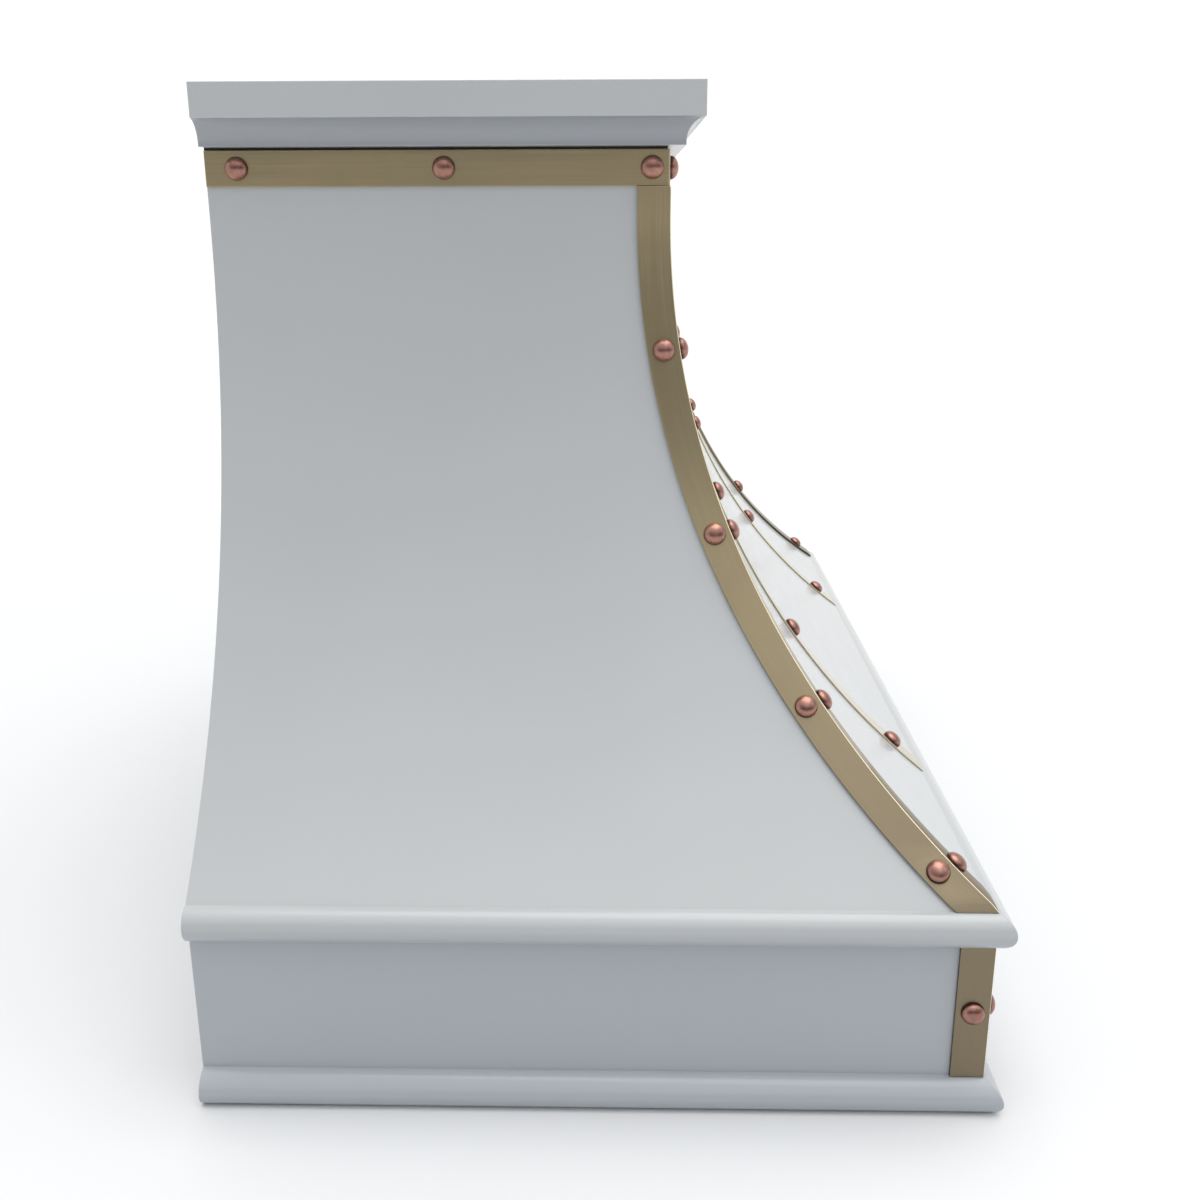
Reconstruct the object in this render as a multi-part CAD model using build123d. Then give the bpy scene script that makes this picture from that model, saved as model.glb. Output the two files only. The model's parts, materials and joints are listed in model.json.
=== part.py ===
from build123d import *
import math
import os

# Wall-mounted range hood with a bell-shaped body, brass straps and copper dome rivets.
# Millimetres. +Z up, the wall is at +Y, the front faces -Y, the origin is on the floor plane
# under the middle of the hood. Depths are measured from the wall plane towards the front.

# Overall sizes
hood_width = 1071.0
hood_depth = 622.0
hood_height = 762.0

# Painted sheet body
sheet = 1.5
side_flare = 205.5
front_flare = 243.4
neck_straight = 22.1
panel_skirt = 14.5
panel_top_gap = 1.5

# Bullnose mouldings round the apron
foot_height = 27.1
foot_projection = 16.4
foot_nose_radius = 11.0
foot_nose_turn = 35.0
apron_height = 114.3
belt_height = 28.6
belt_projection = 14.3

# Crown moulding
crown_height = 45.8
crown_fascia_height = 25.8
crown_projection = 28.2
crown_lip_projection = 13.9
crown_lip_height = 3.0

# Brass neck band and straps
band_height = 27.3
band_thickness = 2.1
band_corner_radius = 2.5
band_gap = 2.1
strap_width = 26.5
strap_thickness = 3.0
strap_top_chamfer = 2.0
front_strap_thickness = 1.6
front_strap_top_x = 146.0
front_strap_base_x = 259.0
front_strap_levels = 7

# Copper dome rivets
rivet_radius = 9.0
rivet_dome = 6.2
rivet_edge = 0.7
strap_rivet_shares = [0.2436, 0.5190, 0.7593, 0.9560]
band_rivet_inset = 14.0
band_side_rivets = 3
band_side_rivet_start = 25.0
band_front_rivets = 5

# Wall plate, mounting rails and top plate
rail_height = 40.0
rail_thickness = 5.0
rail_length = 560.0
wall_bolt_spacing_x = 406.4
wall_bolt_low_z = 240.0
wall_bolt_top_drop = 66.0
wall_bolt_radius = 4.5
top_plate_drop = 56.0
top_plate_flange = 20.0

# Stainless liner
liner_sheet = 1.2
liner_gap = 1.0
liner_z = 14.0
liner_rim_width = 30.0
liner_slope_in = 40.0
liner_height = 114.0
liner_back_slope_in = 18.0
liner_front_slope_in = 37.0
angle_leg = 22.0
angle_thickness = 2.0

# Baffle filters. Their depth comes from the strip left in front of them for lamps and controls.
filter_count = 3
filter_width = 254.0
filter_thickness = 20.0
filter_gap = 2.0
filter_sheet = 1.2
filter_flange = 12.0
filter_back_depth = 85.0
filter_rear_overlap = 10.0
filter_front_overlap = 6.0
filter_side_overlap = 7.0
filter_travel = 10.0
filter_lift_room = 1.5
filter_stop_gap = 0.3
baffle_pitch = 36.0
baffle_width = 27.0
baffle_lower_count = 6
baffle_sheet = 1.0
baffle_lap = 1.5
handle_drop = 16.0
handle_wire = 2.5
handle_bend = 6.0
handle_back_from_front = 30.0

# Lamps and controls in the liner's front strip
front_strip_width = 81.0
lamp_x = 300.0
lamp_radius = 28.0
lamp_bezel_radius = 32.5
lamp_bezel_height = 2.5
lamp_lens_radius = 25.0
lamp_lens_thickness = 2.0
lamp_height = 22.0
lamp_hole_clearance = 0.4
control_width = 190.0
control_depth = 52.0
control_thickness = 1.5
knob_spacing = 90.0
knob_radius = 15.0
knob_skirt_radius = 17.0
knob_skirt_height = 3.0
knob_height = 17.0
knob_gap = 1.2
knob_flute = 1.6
knob_flutes = 20
shaft_radius = 3.0
shaft_clearance = 0.05
shaft_hole_clearance = 1.0
switch_width = 26.0
switch_height = 18.0

# Plenum and blower
plenum_sheet = 1.2
plenum_margin = 11.0
plenum_height = 112.0
blower_box_half_width = 190.0
blower_box_back_depth = 70.0
blower_box_front_depth = 385.0
blower_box_height = 250.0
fan_axis_depth = 245.0
fan_axis_z = 372.0
wheel_radius = 90.0
wheel_inner_radius = 76.0
wheel_width = 110.0
wheel_sheet = 1.5
wheel_ring_width = 4.5
wheel_ring_lap = 3.0
blade_count = 36
blade_thickness = 1.0
blade_tilt = -30.0
hub_radius = 14.0
hub_length = 44.0
press_clearance = 0.02
scroll_sheet = 1.2
scroll_inner_width = 130.0
scroll_tongue_angle = 70.0
scroll_tongue_radius = 102.0
scroll_end_radius = 150.0
scroll_spiral_points = 9
inlet_radius = 72.0
inlet_lip_height = 6.0
motor_radius = 42.0
motor_length = 72.0
motor_standoff = 9.0
motor_shaft_radius = 5.0
motor_shaft_depth = 32.0
motor_shaft_end_room = 1.0
motor_shaft_overhang = 2.0
motor_rim_radius = 45.0
motor_rim_height = 4.0
spider_arms = 3
spider_arm_width = 14.0
spider_thickness = 3.0
spider_reach = 98.0

# Duct
duct_radius = 101.6
duct_sheet = 1.2
duct_centre_depth = 185.5
transition_height = 55.0
damper_height = 56.0
flap_thickness = 1.0
flap_clearance = 2.4
flap_hinge_offset = 6.0
flap_knuckle_radius = 4.0
flap_pin_radius = 2.0
flap_pin_clearance = 0.06
flap_stop_width = 5.4
flap_stop_gap = 0.3
flap_stop_thickness = 1.7
flap_axis_rise = 27.0
collar_height = 48.0
collar_flange_radius = 118.0

# Junction box
junction_width = 100.0
junction_length = 70.0
junction_height = 46.0
junction_sheet = 1.5
junction_x = -300.0
junction_depth = 200.0
bush_radius = 11.0
bush_bore = 6.0
bush_length = 8.0

# Screws
screw_head_radius = 4.0
screw_head_height = 2.2
screw_radius = 2.0
screw_length = 7.0
screw_hole_clearance = 0.1

# Worked-out levels and faces
wall_y = hood_depth / 2
foot_top_z = foot_height
belt_low_z = foot_top_z + apron_height
belt_top_z = belt_low_z + belt_height
joint_z = belt_top_z - panel_skirt
crown_low_z = hood_height - crown_height
band_top_z = crown_low_z - band_gap
band_low_z = band_top_z - band_height
arc_top_z = band_low_z - neck_straight
arc_height = arc_top_z - belt_top_z
panel_top_z = hood_height - panel_top_gap
apron_half = hood_width / 2 - foot_projection
apron_front = hood_depth - foot_projection
neck_half = apron_half - side_flare
neck_front = apron_front - front_flare
top_plate_z = hood_height - top_plate_drop
big = 2 * hood_width

parts = {}


# Radius of an arc that leaves the vertical at the neck and has moved out by flare at the belt
def arc_radius(flare):
    return (arc_height ** 2 + flare ** 2) / (2 * flare)


side_radius = arc_radius(side_flare)
front_radius = arc_radius(front_flare)


def y_at(depth):
    return wall_y - depth


# A box between two half widths of x, two depths from the wall and two heights
def depth_box(x_low, x_high, depth_low, depth_high, z_low, z_high):
    size = (x_high - x_low, depth_high - depth_low, z_high - z_low)
    centre = ((x_low + x_high) / 2, y_at((depth_low + depth_high) / 2), (z_low + z_high) / 2)
    return Pos(*centre) * Box(*size)


def across(face, half):
    return extrude(face, amount=half, both=True)


def cylinder_x(radius, x_low, x_high, y, z):
    turned = Rot(0, 90, 0) * Cylinder(radius, x_high - x_low)
    return Pos((x_low + x_high) / 2, y, z) * turned


def cylinder_y(radius, depth_low, depth_high, x, z):
    turned = Rot(90, 0, 0) * Cylinder(radius, depth_high - depth_low)
    return Pos(x, y_at((depth_low + depth_high) / 2), z) * turned


def cylinder_z(radius, z_low, z_high, x, y):
    return Pos(x, y, (z_low + z_high) / 2) * Cylinder(radius, z_high - z_low)


# The bell curve. It is a vertical neck, then an arc of one radius that flares out to the belt,
# then a vertical skirt. A positive inset draws the whole curve inwards by that much.
def flare_reach(neck, radius, inset, z):
    drop = max(arc_top_z - z, 0)
    return neck + radius - math.sqrt((radius + inset) ** 2 - drop ** 2)


# Angle that the outer face, drawn in by inset, leans from the vertical at a height
def flare_slope(radius, inset, z):
    return math.asin(min(max(arc_top_z - z, 0) / (radius + inset), 1))


# One edge of the bell curve, as reach and height pairs: top, arc start, arc middle, arc end, foot
def flare_points(neck, radius, flare, inset, z_low, z_high):
    base = neck + flare - inset
    drop = math.sqrt((radius + inset) ** 2 - (neck + radius - base) ** 2)
    middle = arc_top_z - drop / 2
    return [
        (neck - inset, z_high),
        (neck - inset, arc_top_z),
        (flare_reach(neck, radius, inset, middle), middle),
        (base, arc_top_z - drop),
        (base, z_low),
    ]


# The space behind one edge of the bell curve seen from the side, as wide as the model
def side_view_of(points, back_depth):
    flat = [(y_at(depth), z) for depth, z in points]
    top = (y_at(back_depth), points[0][1])
    foot = (y_at(back_depth), points[-1][1])
    edges = [
        Line(top, flat[0]),
        Line(flat[0], flat[1]),
        ThreePointArc(flat[1], flat[2], flat[3]),
        Line(flat[3], flat[4]),
        Line(flat[4], foot),
        Line(foot, top),
    ]
    return across(Plane.YZ * make_face(Curve() + edges), big)


# The body seen from the side, drawn in by inset
def side_view_solid(inset, z_low, z_high, back_depth):
    points = flare_points(neck_front, front_radius, front_flare, inset, z_low, z_high)
    return side_view_of(points, back_depth)


# The space between the two edges of the bell curve seen from the front
def front_view_of(right):
    left = [(-x, z) for x, z in right]
    edges = [
        Line(left[0], right[0]),
        Line(right[0], right[1]),
        ThreePointArc(right[1], right[2], right[3]),
        Line(right[3], right[4]),
        Line(right[4], left[4]),
        Line(left[4], left[3]),
        ThreePointArc(left[3], left[2], left[1]),
        Line(left[1], left[0]),
    ]
    return Plane.XZ * make_face(Curve() + edges)


# The body seen from the front, drawn in by inset
def front_view_face(inset, z_low, z_high):
    return front_view_of(flare_points(neck_half, side_radius, side_flare, inset, z_low, z_high))


def front_view_solid(inset, z_low, z_high):
    return across(front_view_face(inset, z_low, z_high), big)


# A run of moulding or sheet that goes round the front and both sides, mitred at the corners.
# The section is a face on the YZ plane whose local x is the outward distance from the wall face.
def wrapped(section, half_width, front_depth):
    corner_y = y_at(front_depth)
    front_run = across(Pos(0, corner_y, 0) * (Plane.YZ * mirrored(section)), big)
    right_run = across(Pos(half_width, 0, 0) * (Plane.XZ * section), big)
    left_run = across(Pos(-half_width, 0, 0) * (Plane.XZ * mirrored(section)), big)
    outside = hood_depth
    front_wedge = Polygon(
        (-half_width - outside, corner_y - outside),
        (half_width + outside, corner_y - outside),
        (0, corner_y + half_width),
        align=None,
    )
    right_wedge = Polygon(
        (half_width + outside, corner_y - outside),
        (half_width + outside, wall_y),
        (half_width / 2, wall_y),
        (half_width / 2, corner_y + half_width / 2),
        align=None,
    )
    left_wedge = mirror(right_wedge, about=Plane.YZ)
    tall = 2 * hood_height
    return (
        (front_run & across(front_wedge, tall))
        + (right_run & across(right_wedge, tall))
        + (left_run & across(left_wedge, tall))
    )


def mirrored(section):
    return mirror(section, about=Plane.YZ)


# Painted body panels
def build_panels():
    low = joint_z
    high = panel_top_z
    side_outer = side_view_solid(0, low, high, 0)
    side_inner = side_view_solid(sheet, low - sheet, high + sheet, -sheet)
    front_outer = front_view_solid(0, low, high)
    front_inner = front_view_solid(sheet, low - sheet, high + sheet)
    sides = (front_outer - front_inner) & side_outer
    left_half = depth_box(-big, 0, -sheet, big, 0, hood_height)
    parts["front_panel"] = (side_outer - side_inner) & front_inner
    parts["left_side_panel"] = sides & left_half
    parts["right_side_panel"] = sides - left_half


def build_apron():
    outer = depth_box(-apron_half, apron_half, 0, apron_front, 0, joint_z)
    inner = depth_box(
        -apron_half + sheet, apron_half - sheet, -sheet, apron_front - sheet, -sheet, joint_z + sheet
    )
    parts["apron"] = outer - inner


# Belt section: a half round, its flat against the body
def belt_section():
    middle = belt_height / 2
    edges = [
        ThreePointArc((0, 0), (belt_projection, middle), (0, belt_height)),
        Line((0, belt_height), (0, 0)),
    ]
    return make_face(Curve() + edges)


# Foot section: flat underside, round nose, convex slope up to the apron
def foot_section():
    turn = math.radians(foot_nose_turn)
    nose = foot_nose_radius
    centre = foot_projection - nose
    nose_end = (centre + nose * math.cos(turn), nose + nose * math.sin(turn))
    edges = [
        Line((0, 0), (centre, 0)),
        ThreePointArc((centre, 0), (foot_projection, nose), nose_end),
        TangentArc(nose_end, (0, foot_height), tangent=(-math.sin(turn), math.cos(turn))),
        Line((0, foot_height), (0, 0)),
    ]
    return make_face(Curve() + edges)


def hollow(section, wall):
    return section - offset(section, amount=-wall, kind=Kind.INTERSECTION)


def build_mouldings():
    foot = hollow(foot_section(), sheet)
    belt = hollow(belt_section(), sheet)
    parts["foot_moulding"] = wrapped(foot, apron_half, apron_front)
    parts["belt_moulding"] = Pos(0, 0, belt_low_z) * wrapped(belt, apron_half, apron_front)
    lip_top = crown_lip_height
    cove_top = crown_height - crown_fascia_height
    edges = [
        Line((0, 0), (crown_lip_projection, 0)),
        Line((crown_lip_projection, 0), (crown_lip_projection, lip_top)),
        TangentArc((crown_lip_projection, lip_top), (crown_projection, cove_top), tangent=(0, 1)),
        Line((crown_projection, cove_top), (crown_projection, crown_height)),
        Line((crown_projection, crown_height), (0, crown_height)),
        Line((0, crown_height), (0, 0)),
    ]
    crown = hollow(make_face(Curve() + edges), sheet)
    parts["crown_moulding"] = Pos(0, 0, crown_low_z) * wrapped(crown, neck_half, neck_front)


def build_wall_plate():
    lower = depth_box(-apron_half + sheet, apron_half - sheet, 0, sheet, 0, joint_z)
    upper = across(front_view_face(sheet, joint_z, panel_top_z), big) & depth_box(
        -big, big, 0, sheet, 0, hood_height
    )
    plate = lower + upper
    bar = depth_box(
        -rail_length / 2, rail_length / 2, sheet, sheet + rail_thickness, -rail_height / 2, rail_height / 2
    )
    rails = []
    holes = []
    for level in (wall_bolt_low_z, top_plate_z - wall_bolt_top_drop):
        rails.append(Pos(0, 0, level) * bar)
        for side in (-1, 1):
            x = side * wall_bolt_spacing_x / 2
            holes.append(cylinder_y(wall_bolt_radius, -sheet, rail_thickness + 2 * sheet, x, level))
    parts["back_plate"] = plate - holes
    parts["mounting_rails"] = Compound([rail - holes for rail in rails])


def build_top_plate():
    half = neck_half - sheet
    front = neck_front - sheet
    pan = depth_box(-half, half, sheet, front, top_plate_z, top_plate_z + top_plate_flange)
    well = depth_box(
        -half + sheet, half - sheet, 2 * sheet, front - sheet, top_plate_z + sheet, hood_height
    )
    bore = cylinder_z(duct_radius - duct_sheet, 0, hood_height, 0, y_at(duct_centre_depth))
    parts["top_plate"] = pan - well - bore


def build_neck_band():
    outer = depth_box(
        -neck_half - band_thickness,
        neck_half + band_thickness,
        0,
        neck_front + band_thickness,
        band_low_z,
        band_top_z,
    )
    corners = outer.edges().filter_by(Axis.Z).group_by(Axis.Y)[0]
    outer = fillet(corners, band_corner_radius)
    parts["neck_band"] = outer - depth_box(
        -neck_half, neck_half, -sheet, neck_front, 0, hood_height
    )


# A corner strap is a strip of one width that lies on two flared faces. Seen square on, each of its
# leaves looks narrower towards the belt, where the other face leans away. This gives the level
# width of a leaf at the belt, from the lean of the edge it follows and the lean of its own face.
def leaf_base_run(edge_turn, face_turn):
    lean = math.sin(edge_turn) * math.tan(face_turn)
    return strap_width / (math.cos(edge_turn) * math.sqrt(1 + lean ** 2))


# Neck reach, arc radius and flare of a leaf's inner edge
def leaf_curve(neck, radius, other_radius):
    turn = flare_slope(radius, 0, belt_top_z)
    other_turn = flare_slope(other_radius, 0, belt_top_z)
    tip = flare_reach(neck, radius, -strap_thickness, belt_top_z)
    leaf_neck = neck + strap_thickness - strap_width
    leaf_flare = tip - leaf_base_run(turn, other_turn) - leaf_neck
    return leaf_neck, arc_radius(leaf_flare), leaf_flare


side_leaf = leaf_curve(neck_front, front_radius, side_radius)
front_leaf = leaf_curve(neck_half, side_radius, front_radius)


# Brass layer that lies on the painted body, between the belt and the neck band
def build_curved_straps():
    low = joint_z
    high = band_low_z
    side_cover = side_view_solid(-strap_thickness, low, high, 0)
    front_cover = front_view_solid(-strap_thickness, low, high)
    side_body = side_view_solid(0, low - sheet, high + sheet, -sheet)
    front_body = front_view_solid(0, low - sheet, high + sheet)
    side_rest = side_view_of(flare_points(*side_leaf, 0, low - sheet, high + sheet), -sheet)
    front_rest = across(front_view_of(flare_points(*front_leaf, 0, low - sheet, high + sheet)), big)
    above_belt = depth_box(-big, big, 0, big, belt_top_z, high)
    corners = (side_cover & front_cover) - (side_body & front_body) - side_rest - front_rest
    corners = corners & above_belt
    top_y = y_at(neck_front + strap_thickness)
    for name, side in (("left_corner_strap", -1), ("right_corner_strap", 1)):
        half = depth_box(min(0, side * big), max(0, side * big), 0, big, 0, hood_height)
        strap = corners & half
        tip = Plane((side * (neck_half + strap_thickness), top_y, high), z_dir=(side, -1, 1))
        cutter = tip * Pos(0, 0, big / 2 - strap_top_chamfer / math.sqrt(3)) * Box(big, big, big)
        parts[name] = strap - cutter

    front_cover = side_view_solid(-front_strap_thickness, low, high, 0)
    front_layer = (front_cover - side_body) & above_belt
    for name, side in (("left_front_strap", -1), ("right_front_strap", 1)):
        parts[name] = front_layer & across(front_strap_face(side), big)


# Length along the front curve from the top of a strap down to a height
def curve_length(z):
    return min(band_low_z - z, neck_straight) + front_radius * flare_slope(front_radius, 0, z)


# A front strap is a straight strip bent over the curve, so its middle moves out evenly with the
# length along the curve
def front_strap_x(z):
    share = curve_length(z) / curve_length(belt_top_z)
    return front_strap_top_x + (front_strap_base_x - front_strap_top_x) * share


def front_strap_face(side):
    lean = (front_strap_base_x - front_strap_top_x) / curve_length(belt_top_z)
    half = strap_width / 2 * math.sqrt(1 + lean ** 2)
    fall = (band_low_z - belt_top_z) / (front_strap_levels - 1)
    levels = [band_low_z - fall * step for step in range(front_strap_levels)]
    inner = [(side * (front_strap_x(z) - half), z) for z in levels]
    outer = [(side * (front_strap_x(z) + half), z) for z in levels]
    edges = [
        Spline(*inner),
        Line(inner[-1], outer[-1]),
        Spline(*outer),
        Line(outer[0], inner[0]),
    ]
    return Plane.XZ * make_face(Curve() + edges)


def build_apron_straps():
    low = foot_top_z
    high = belt_low_z
    outer = depth_box(
        -apron_half - strap_thickness,
        apron_half + strap_thickness,
        0,
        apron_front + strap_thickness,
        low,
        high,
    )
    body = depth_box(-apron_half, apron_half, -sheet, apron_front, 0, hood_height)
    flange = strap_width - strap_thickness
    rest = depth_box(
        -big, big, -sheet, apron_front - flange, 0, hood_height
    ) + depth_box(-apron_half + flange, apron_half - flange, -sheet, big, 0, hood_height)
    layer = outer - body - rest
    left_half = depth_box(-big, 0, -sheet, big, 0, hood_height)
    parts["left_apron_strap"] = layer & left_half
    parts["right_apron_strap"] = layer - left_half
    strips = []
    for side in (-1, 1):
        middle = side * front_strap_base_x
        strips.append(
            depth_box(
                middle - strap_width / 2,
                middle + strap_width / 2,
                apron_front,
                apron_front + front_strap_thickness,
                low,
                high,
            )
        )
    parts["apron_front_straps"] = Compound(strips)


# Dome rivet with a short straight edge, standing on its base along the local z axis
def dome_rivet():
    top = rivet_edge + rivet_dome
    middle = rivet_radius / 2
    edges = [
        Line((0, 0), (rivet_radius, 0)),
        Line((rivet_radius, 0), (rivet_radius, rivet_edge)),
        ThreePointArc((rivet_radius, rivet_edge), (middle, dome_height_at(middle)), (0, top)),
        Line((0, top), (0, 0)),
    ]
    return revolve(Plane.XZ * make_face(Curve() + edges), Axis.Z)


def dome_height_at(reach):
    ball = (rivet_radius ** 2 + rivet_dome ** 2) / (2 * rivet_dome)
    return rivet_edge + rivet_dome - ball + math.sqrt(ball ** 2 - reach ** 2)


def standing(shape, point, outward):
    return Plane(point, z_dir=outward) * shape


# A flat rivet base on a hollow curve touches at its rim, so its middle stands off a little
def rivet_rise(surface_radius):
    return surface_radius - math.sqrt(surface_radius ** 2 - rivet_radius ** 2)


# A rivet for a curved strap at a height, how far out it sits, and its lean as outward and up parts
def curved_face_rivet(rivet, neck, radius, thickness, z):
    turn = flare_slope(radius, -thickness, z)
    reach = flare_reach(neck, radius, -thickness, z)
    lifted = Pos(0, 0, rivet_rise(radius - thickness)) * rivet
    return lifted, reach, (math.cos(turn), math.sin(turn))


def leaf_middle(leaf, neck, radius, z):
    leaf_neck, leaf_radius, leaf_flare = leaf
    inner = flare_reach(leaf_neck, leaf_radius, 0, z)
    outer = flare_reach(neck, radius, -strap_thickness, z)
    return (inner + outer) / 2


def build_rivets():
    rivet = dome_rivet()
    band_z = (band_low_z + band_top_z) / 2
    band_rivets = []
    last = neck_front + band_thickness - band_rivet_inset
    pitch = (last - band_side_rivet_start) / (band_side_rivets - 1)
    for side in (-1, 1):
        x = side * (neck_half + band_thickness)
        for step in range(band_side_rivets):
            depth = band_side_rivet_start + step * pitch
            band_rivets.append(standing(rivet, (x, y_at(depth), band_z), (side, 0, 0)))
    reach = neck_half + band_thickness - band_rivet_inset
    for step in range(band_front_rivets):
        x = -reach + 2 * reach * step / (band_front_rivets - 1)
        band_rivets.append(standing(rivet, (x, y_at(neck_front + band_thickness), band_z), (0, -1, 0)))
    parts["neck_band_rivets"] = Compound(band_rivets)

    corner_rivets = []
    front_rivets = []
    for share in strap_rivet_shares:
        z = band_low_z - share * (band_low_z - belt_top_z)
        side_rivet, side_x, side_lean = curved_face_rivet(
            rivet, neck_half, side_radius, strap_thickness, z
        )
        leaf_rivet, leaf_depth, leaf_lean = curved_face_rivet(
            rivet, neck_front, front_radius, strap_thickness, z
        )
        flat_rivet, flat_depth, flat_lean = curved_face_rivet(
            rivet, neck_front, front_radius, front_strap_thickness, z
        )
        side_depth = leaf_middle(side_leaf, neck_front, front_radius, z)
        leaf_x = leaf_middle(front_leaf, neck_half, side_radius, z)
        for side in (-1, 1):
            side_out = (side * side_lean[0], 0, side_lean[1])
            leaf_out = (0, -leaf_lean[0], leaf_lean[1])
            flat_out = (0, -flat_lean[0], flat_lean[1])
            side_point = (side * side_x, y_at(side_depth), z)
            leaf_point = (side * leaf_x, y_at(leaf_depth), z)
            flat_point = (side * front_strap_x(z), y_at(flat_depth), z)
            corner_rivets.append(standing(side_rivet, side_point, side_out))
            corner_rivets.append(standing(leaf_rivet, leaf_point, leaf_out))
            front_rivets.append(standing(flat_rivet, flat_point, flat_out))
    parts["corner_strap_rivets"] = Compound(corner_rivets)
    parts["front_strap_rivets"] = Compound(front_rivets)

    middle = strap_width / 2 - strap_thickness
    apron_z = (foot_top_z + belt_low_z) / 2
    apron_rivets = []
    for side in (-1, 1):
        points = [
            (side * (apron_half + strap_thickness), apron_front - middle, (side, 0, 0)),
            (side * (apron_half - middle), apron_front + strap_thickness, (0, -1, 0)),
            (side * front_strap_base_x, apron_front + front_strap_thickness, (0, -1, 0)),
        ]
        for x, depth, outward in points:
            apron_rivets.append(standing(rivet, (x, y_at(depth), apron_z), outward))
    parts["apron_strap_rivets"] = Compound(apron_rivets)


# Pan-head screw, head down, with its shank going up from the seat
def screw_up(x, depth, seat_z):
    y = y_at(depth)
    head = cylinder_z(screw_head_radius, seat_z - screw_head_height, seat_z, x, y)
    head = fillet(head.edges().sort_by(Axis.Z)[0], screw_head_height / 2)
    return head + cylinder_z(screw_radius, seat_z, seat_z + screw_length, x, y)


# Liner rim and walls. The rim's outer edge keeps a gap to the body all round.
liner_half = apron_half - sheet - liner_gap
liner_back = sheet + liner_gap
liner_front = apron_front - sheet - liner_gap
ceiling_z = liner_z + liner_height
mouth_half = liner_half - liner_rim_width
mouth_back = liner_back + liner_rim_width
mouth_front = liner_front - liner_rim_width
ceiling_half = mouth_half - liner_slope_in
ceiling_back = mouth_back + liner_back_slope_in
ceiling_front = mouth_front - liner_front_slope_in
ceiling_top = ceiling_z + liner_sheet

# Filters lie on the ceiling's edges, their backs under a channel
filter_bed_half = (filter_count * filter_width + (filter_count - 1) * filter_gap) / 2
opening_half = filter_bed_half - filter_side_overlap
opening_back = filter_back_depth + filter_rear_overlap
filter_front_depth = ceiling_front - front_strip_width
filter_depth = filter_front_depth - filter_back_depth
handle_reach = 1.5 * baffle_pitch
opening_front = filter_front_depth - filter_front_overlap
plenum_half = filter_bed_half + plenum_margin
plenum_back = filter_back_depth - filter_travel - plenum_margin
plenum_front = filter_front_depth + plenum_margin
strip_depth = (plenum_front + ceiling_front) / 2
plenum_top = ceiling_top + plenum_height
blower_box_top = plenum_top + blower_box_height
duct_y = y_at(duct_centre_depth)
fan_y = y_at(fan_axis_depth)
damper_low_z = blower_box_top + transition_height
damper_top_z = damper_low_z + damper_height
flap_z = damper_low_z + flap_axis_rise


# A four-sided funnel between two rectangles of half width and depths, as a solid
def funnel(low, high, z_low, z_high, wall):
    half_low, back_low, front_low = low
    half_high, back_high, front_high = high
    front_view = Polygon(
        (-half_low + wall, z_low),
        (half_low - wall, z_low),
        (half_high - wall, z_high),
        (-half_high + wall, z_high),
        align=None,
    )
    side_view = Polygon(
        (y_at(back_low + wall), z_low),
        (y_at(front_low - wall), z_low),
        (y_at(front_high - wall), z_high),
        (y_at(back_high + wall), z_high),
        align=None,
    )
    return across(Plane.XZ * front_view, big) & across(Plane.YZ * side_view, big)


def liner_screw_places():
    inset = liner_rim_width / 2
    xs = [-liner_half + inset, -liner_half / 3, liner_half / 3, liner_half - inset]
    places = [(x, depth) for x in xs for depth in (liner_back + inset, liner_front - inset)]
    middle = (liner_back + liner_front) / 2
    places += [(xs[0], middle), (xs[-1], middle)]
    return places


def build_liner():
    rim = depth_box(-liner_half, liner_half, liner_back, liner_front, liner_z, liner_z + liner_sheet)
    low = (mouth_half, mouth_back, mouth_front)
    high = (ceiling_half, ceiling_back, ceiling_front)
    walls = funnel(low, high, liner_z, ceiling_z, 0)
    hollow_space = funnel(low, high, liner_z, ceiling_z, liner_sheet)
    screw_holes = [
        cylinder_z(screw_radius + screw_hole_clearance, 0, 4 * angle_leg, x, y_at(depth))
        for x, depth in liner_screw_places()
    ]
    parts["liner_canopy"] = (rim + walls) - hollow_space - screw_holes

    plate = depth_box(-ceiling_half, ceiling_half, ceiling_back, ceiling_front, ceiling_z, ceiling_top)
    cuts = [depth_box(-opening_half, opening_half, opening_back, opening_front, 0, hood_height)]
    for side in (-1, 1):
        lamp_hole = lamp_radius + lamp_hole_clearance
        cuts.append(cylinder_z(lamp_hole, 0, hood_height, side * lamp_x, y_at(strip_depth)))
        hole = shaft_radius + shaft_hole_clearance
        cuts.append(cylinder_z(hole, 0, hood_height, side * knob_spacing / 2, y_at(strip_depth)))
    cuts += control_screw_holes()
    parts["liner_ceiling"] = plate - cuts

    seat = liner_z + liner_sheet
    body_half = apron_half - sheet
    body_front = apron_front - sheet
    angles = []
    side_ends = (liner_rim_width + sheet, body_front - liner_rim_width)
    for side in (-1, 1):
        outer = side * body_half
        inner = side * (body_half - angle_leg)
        wall_face = side * (body_half - angle_thickness)
        foot = depth_box(min(outer, inner), max(outer, inner), *side_ends, seat, seat + angle_thickness)
        leg = depth_box(min(outer, wall_face), max(outer, wall_face), *side_ends, seat, seat + angle_leg)
        angles.append(foot + leg)
    for face, inward in ((sheet, 1), (body_front, -1)):
        reach = face + inward * angle_leg
        skin = face + inward * angle_thickness
        foot = depth_box(
            -body_half, body_half, min(face, reach), max(face, reach), seat, seat + angle_thickness
        )
        leg = depth_box(-body_half, body_half, min(face, skin), max(face, skin), seat, seat + angle_leg)
        angles.append(foot + leg)
    parts["liner_support_angles"] = Compound([angle - screw_holes for angle in angles])


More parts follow.
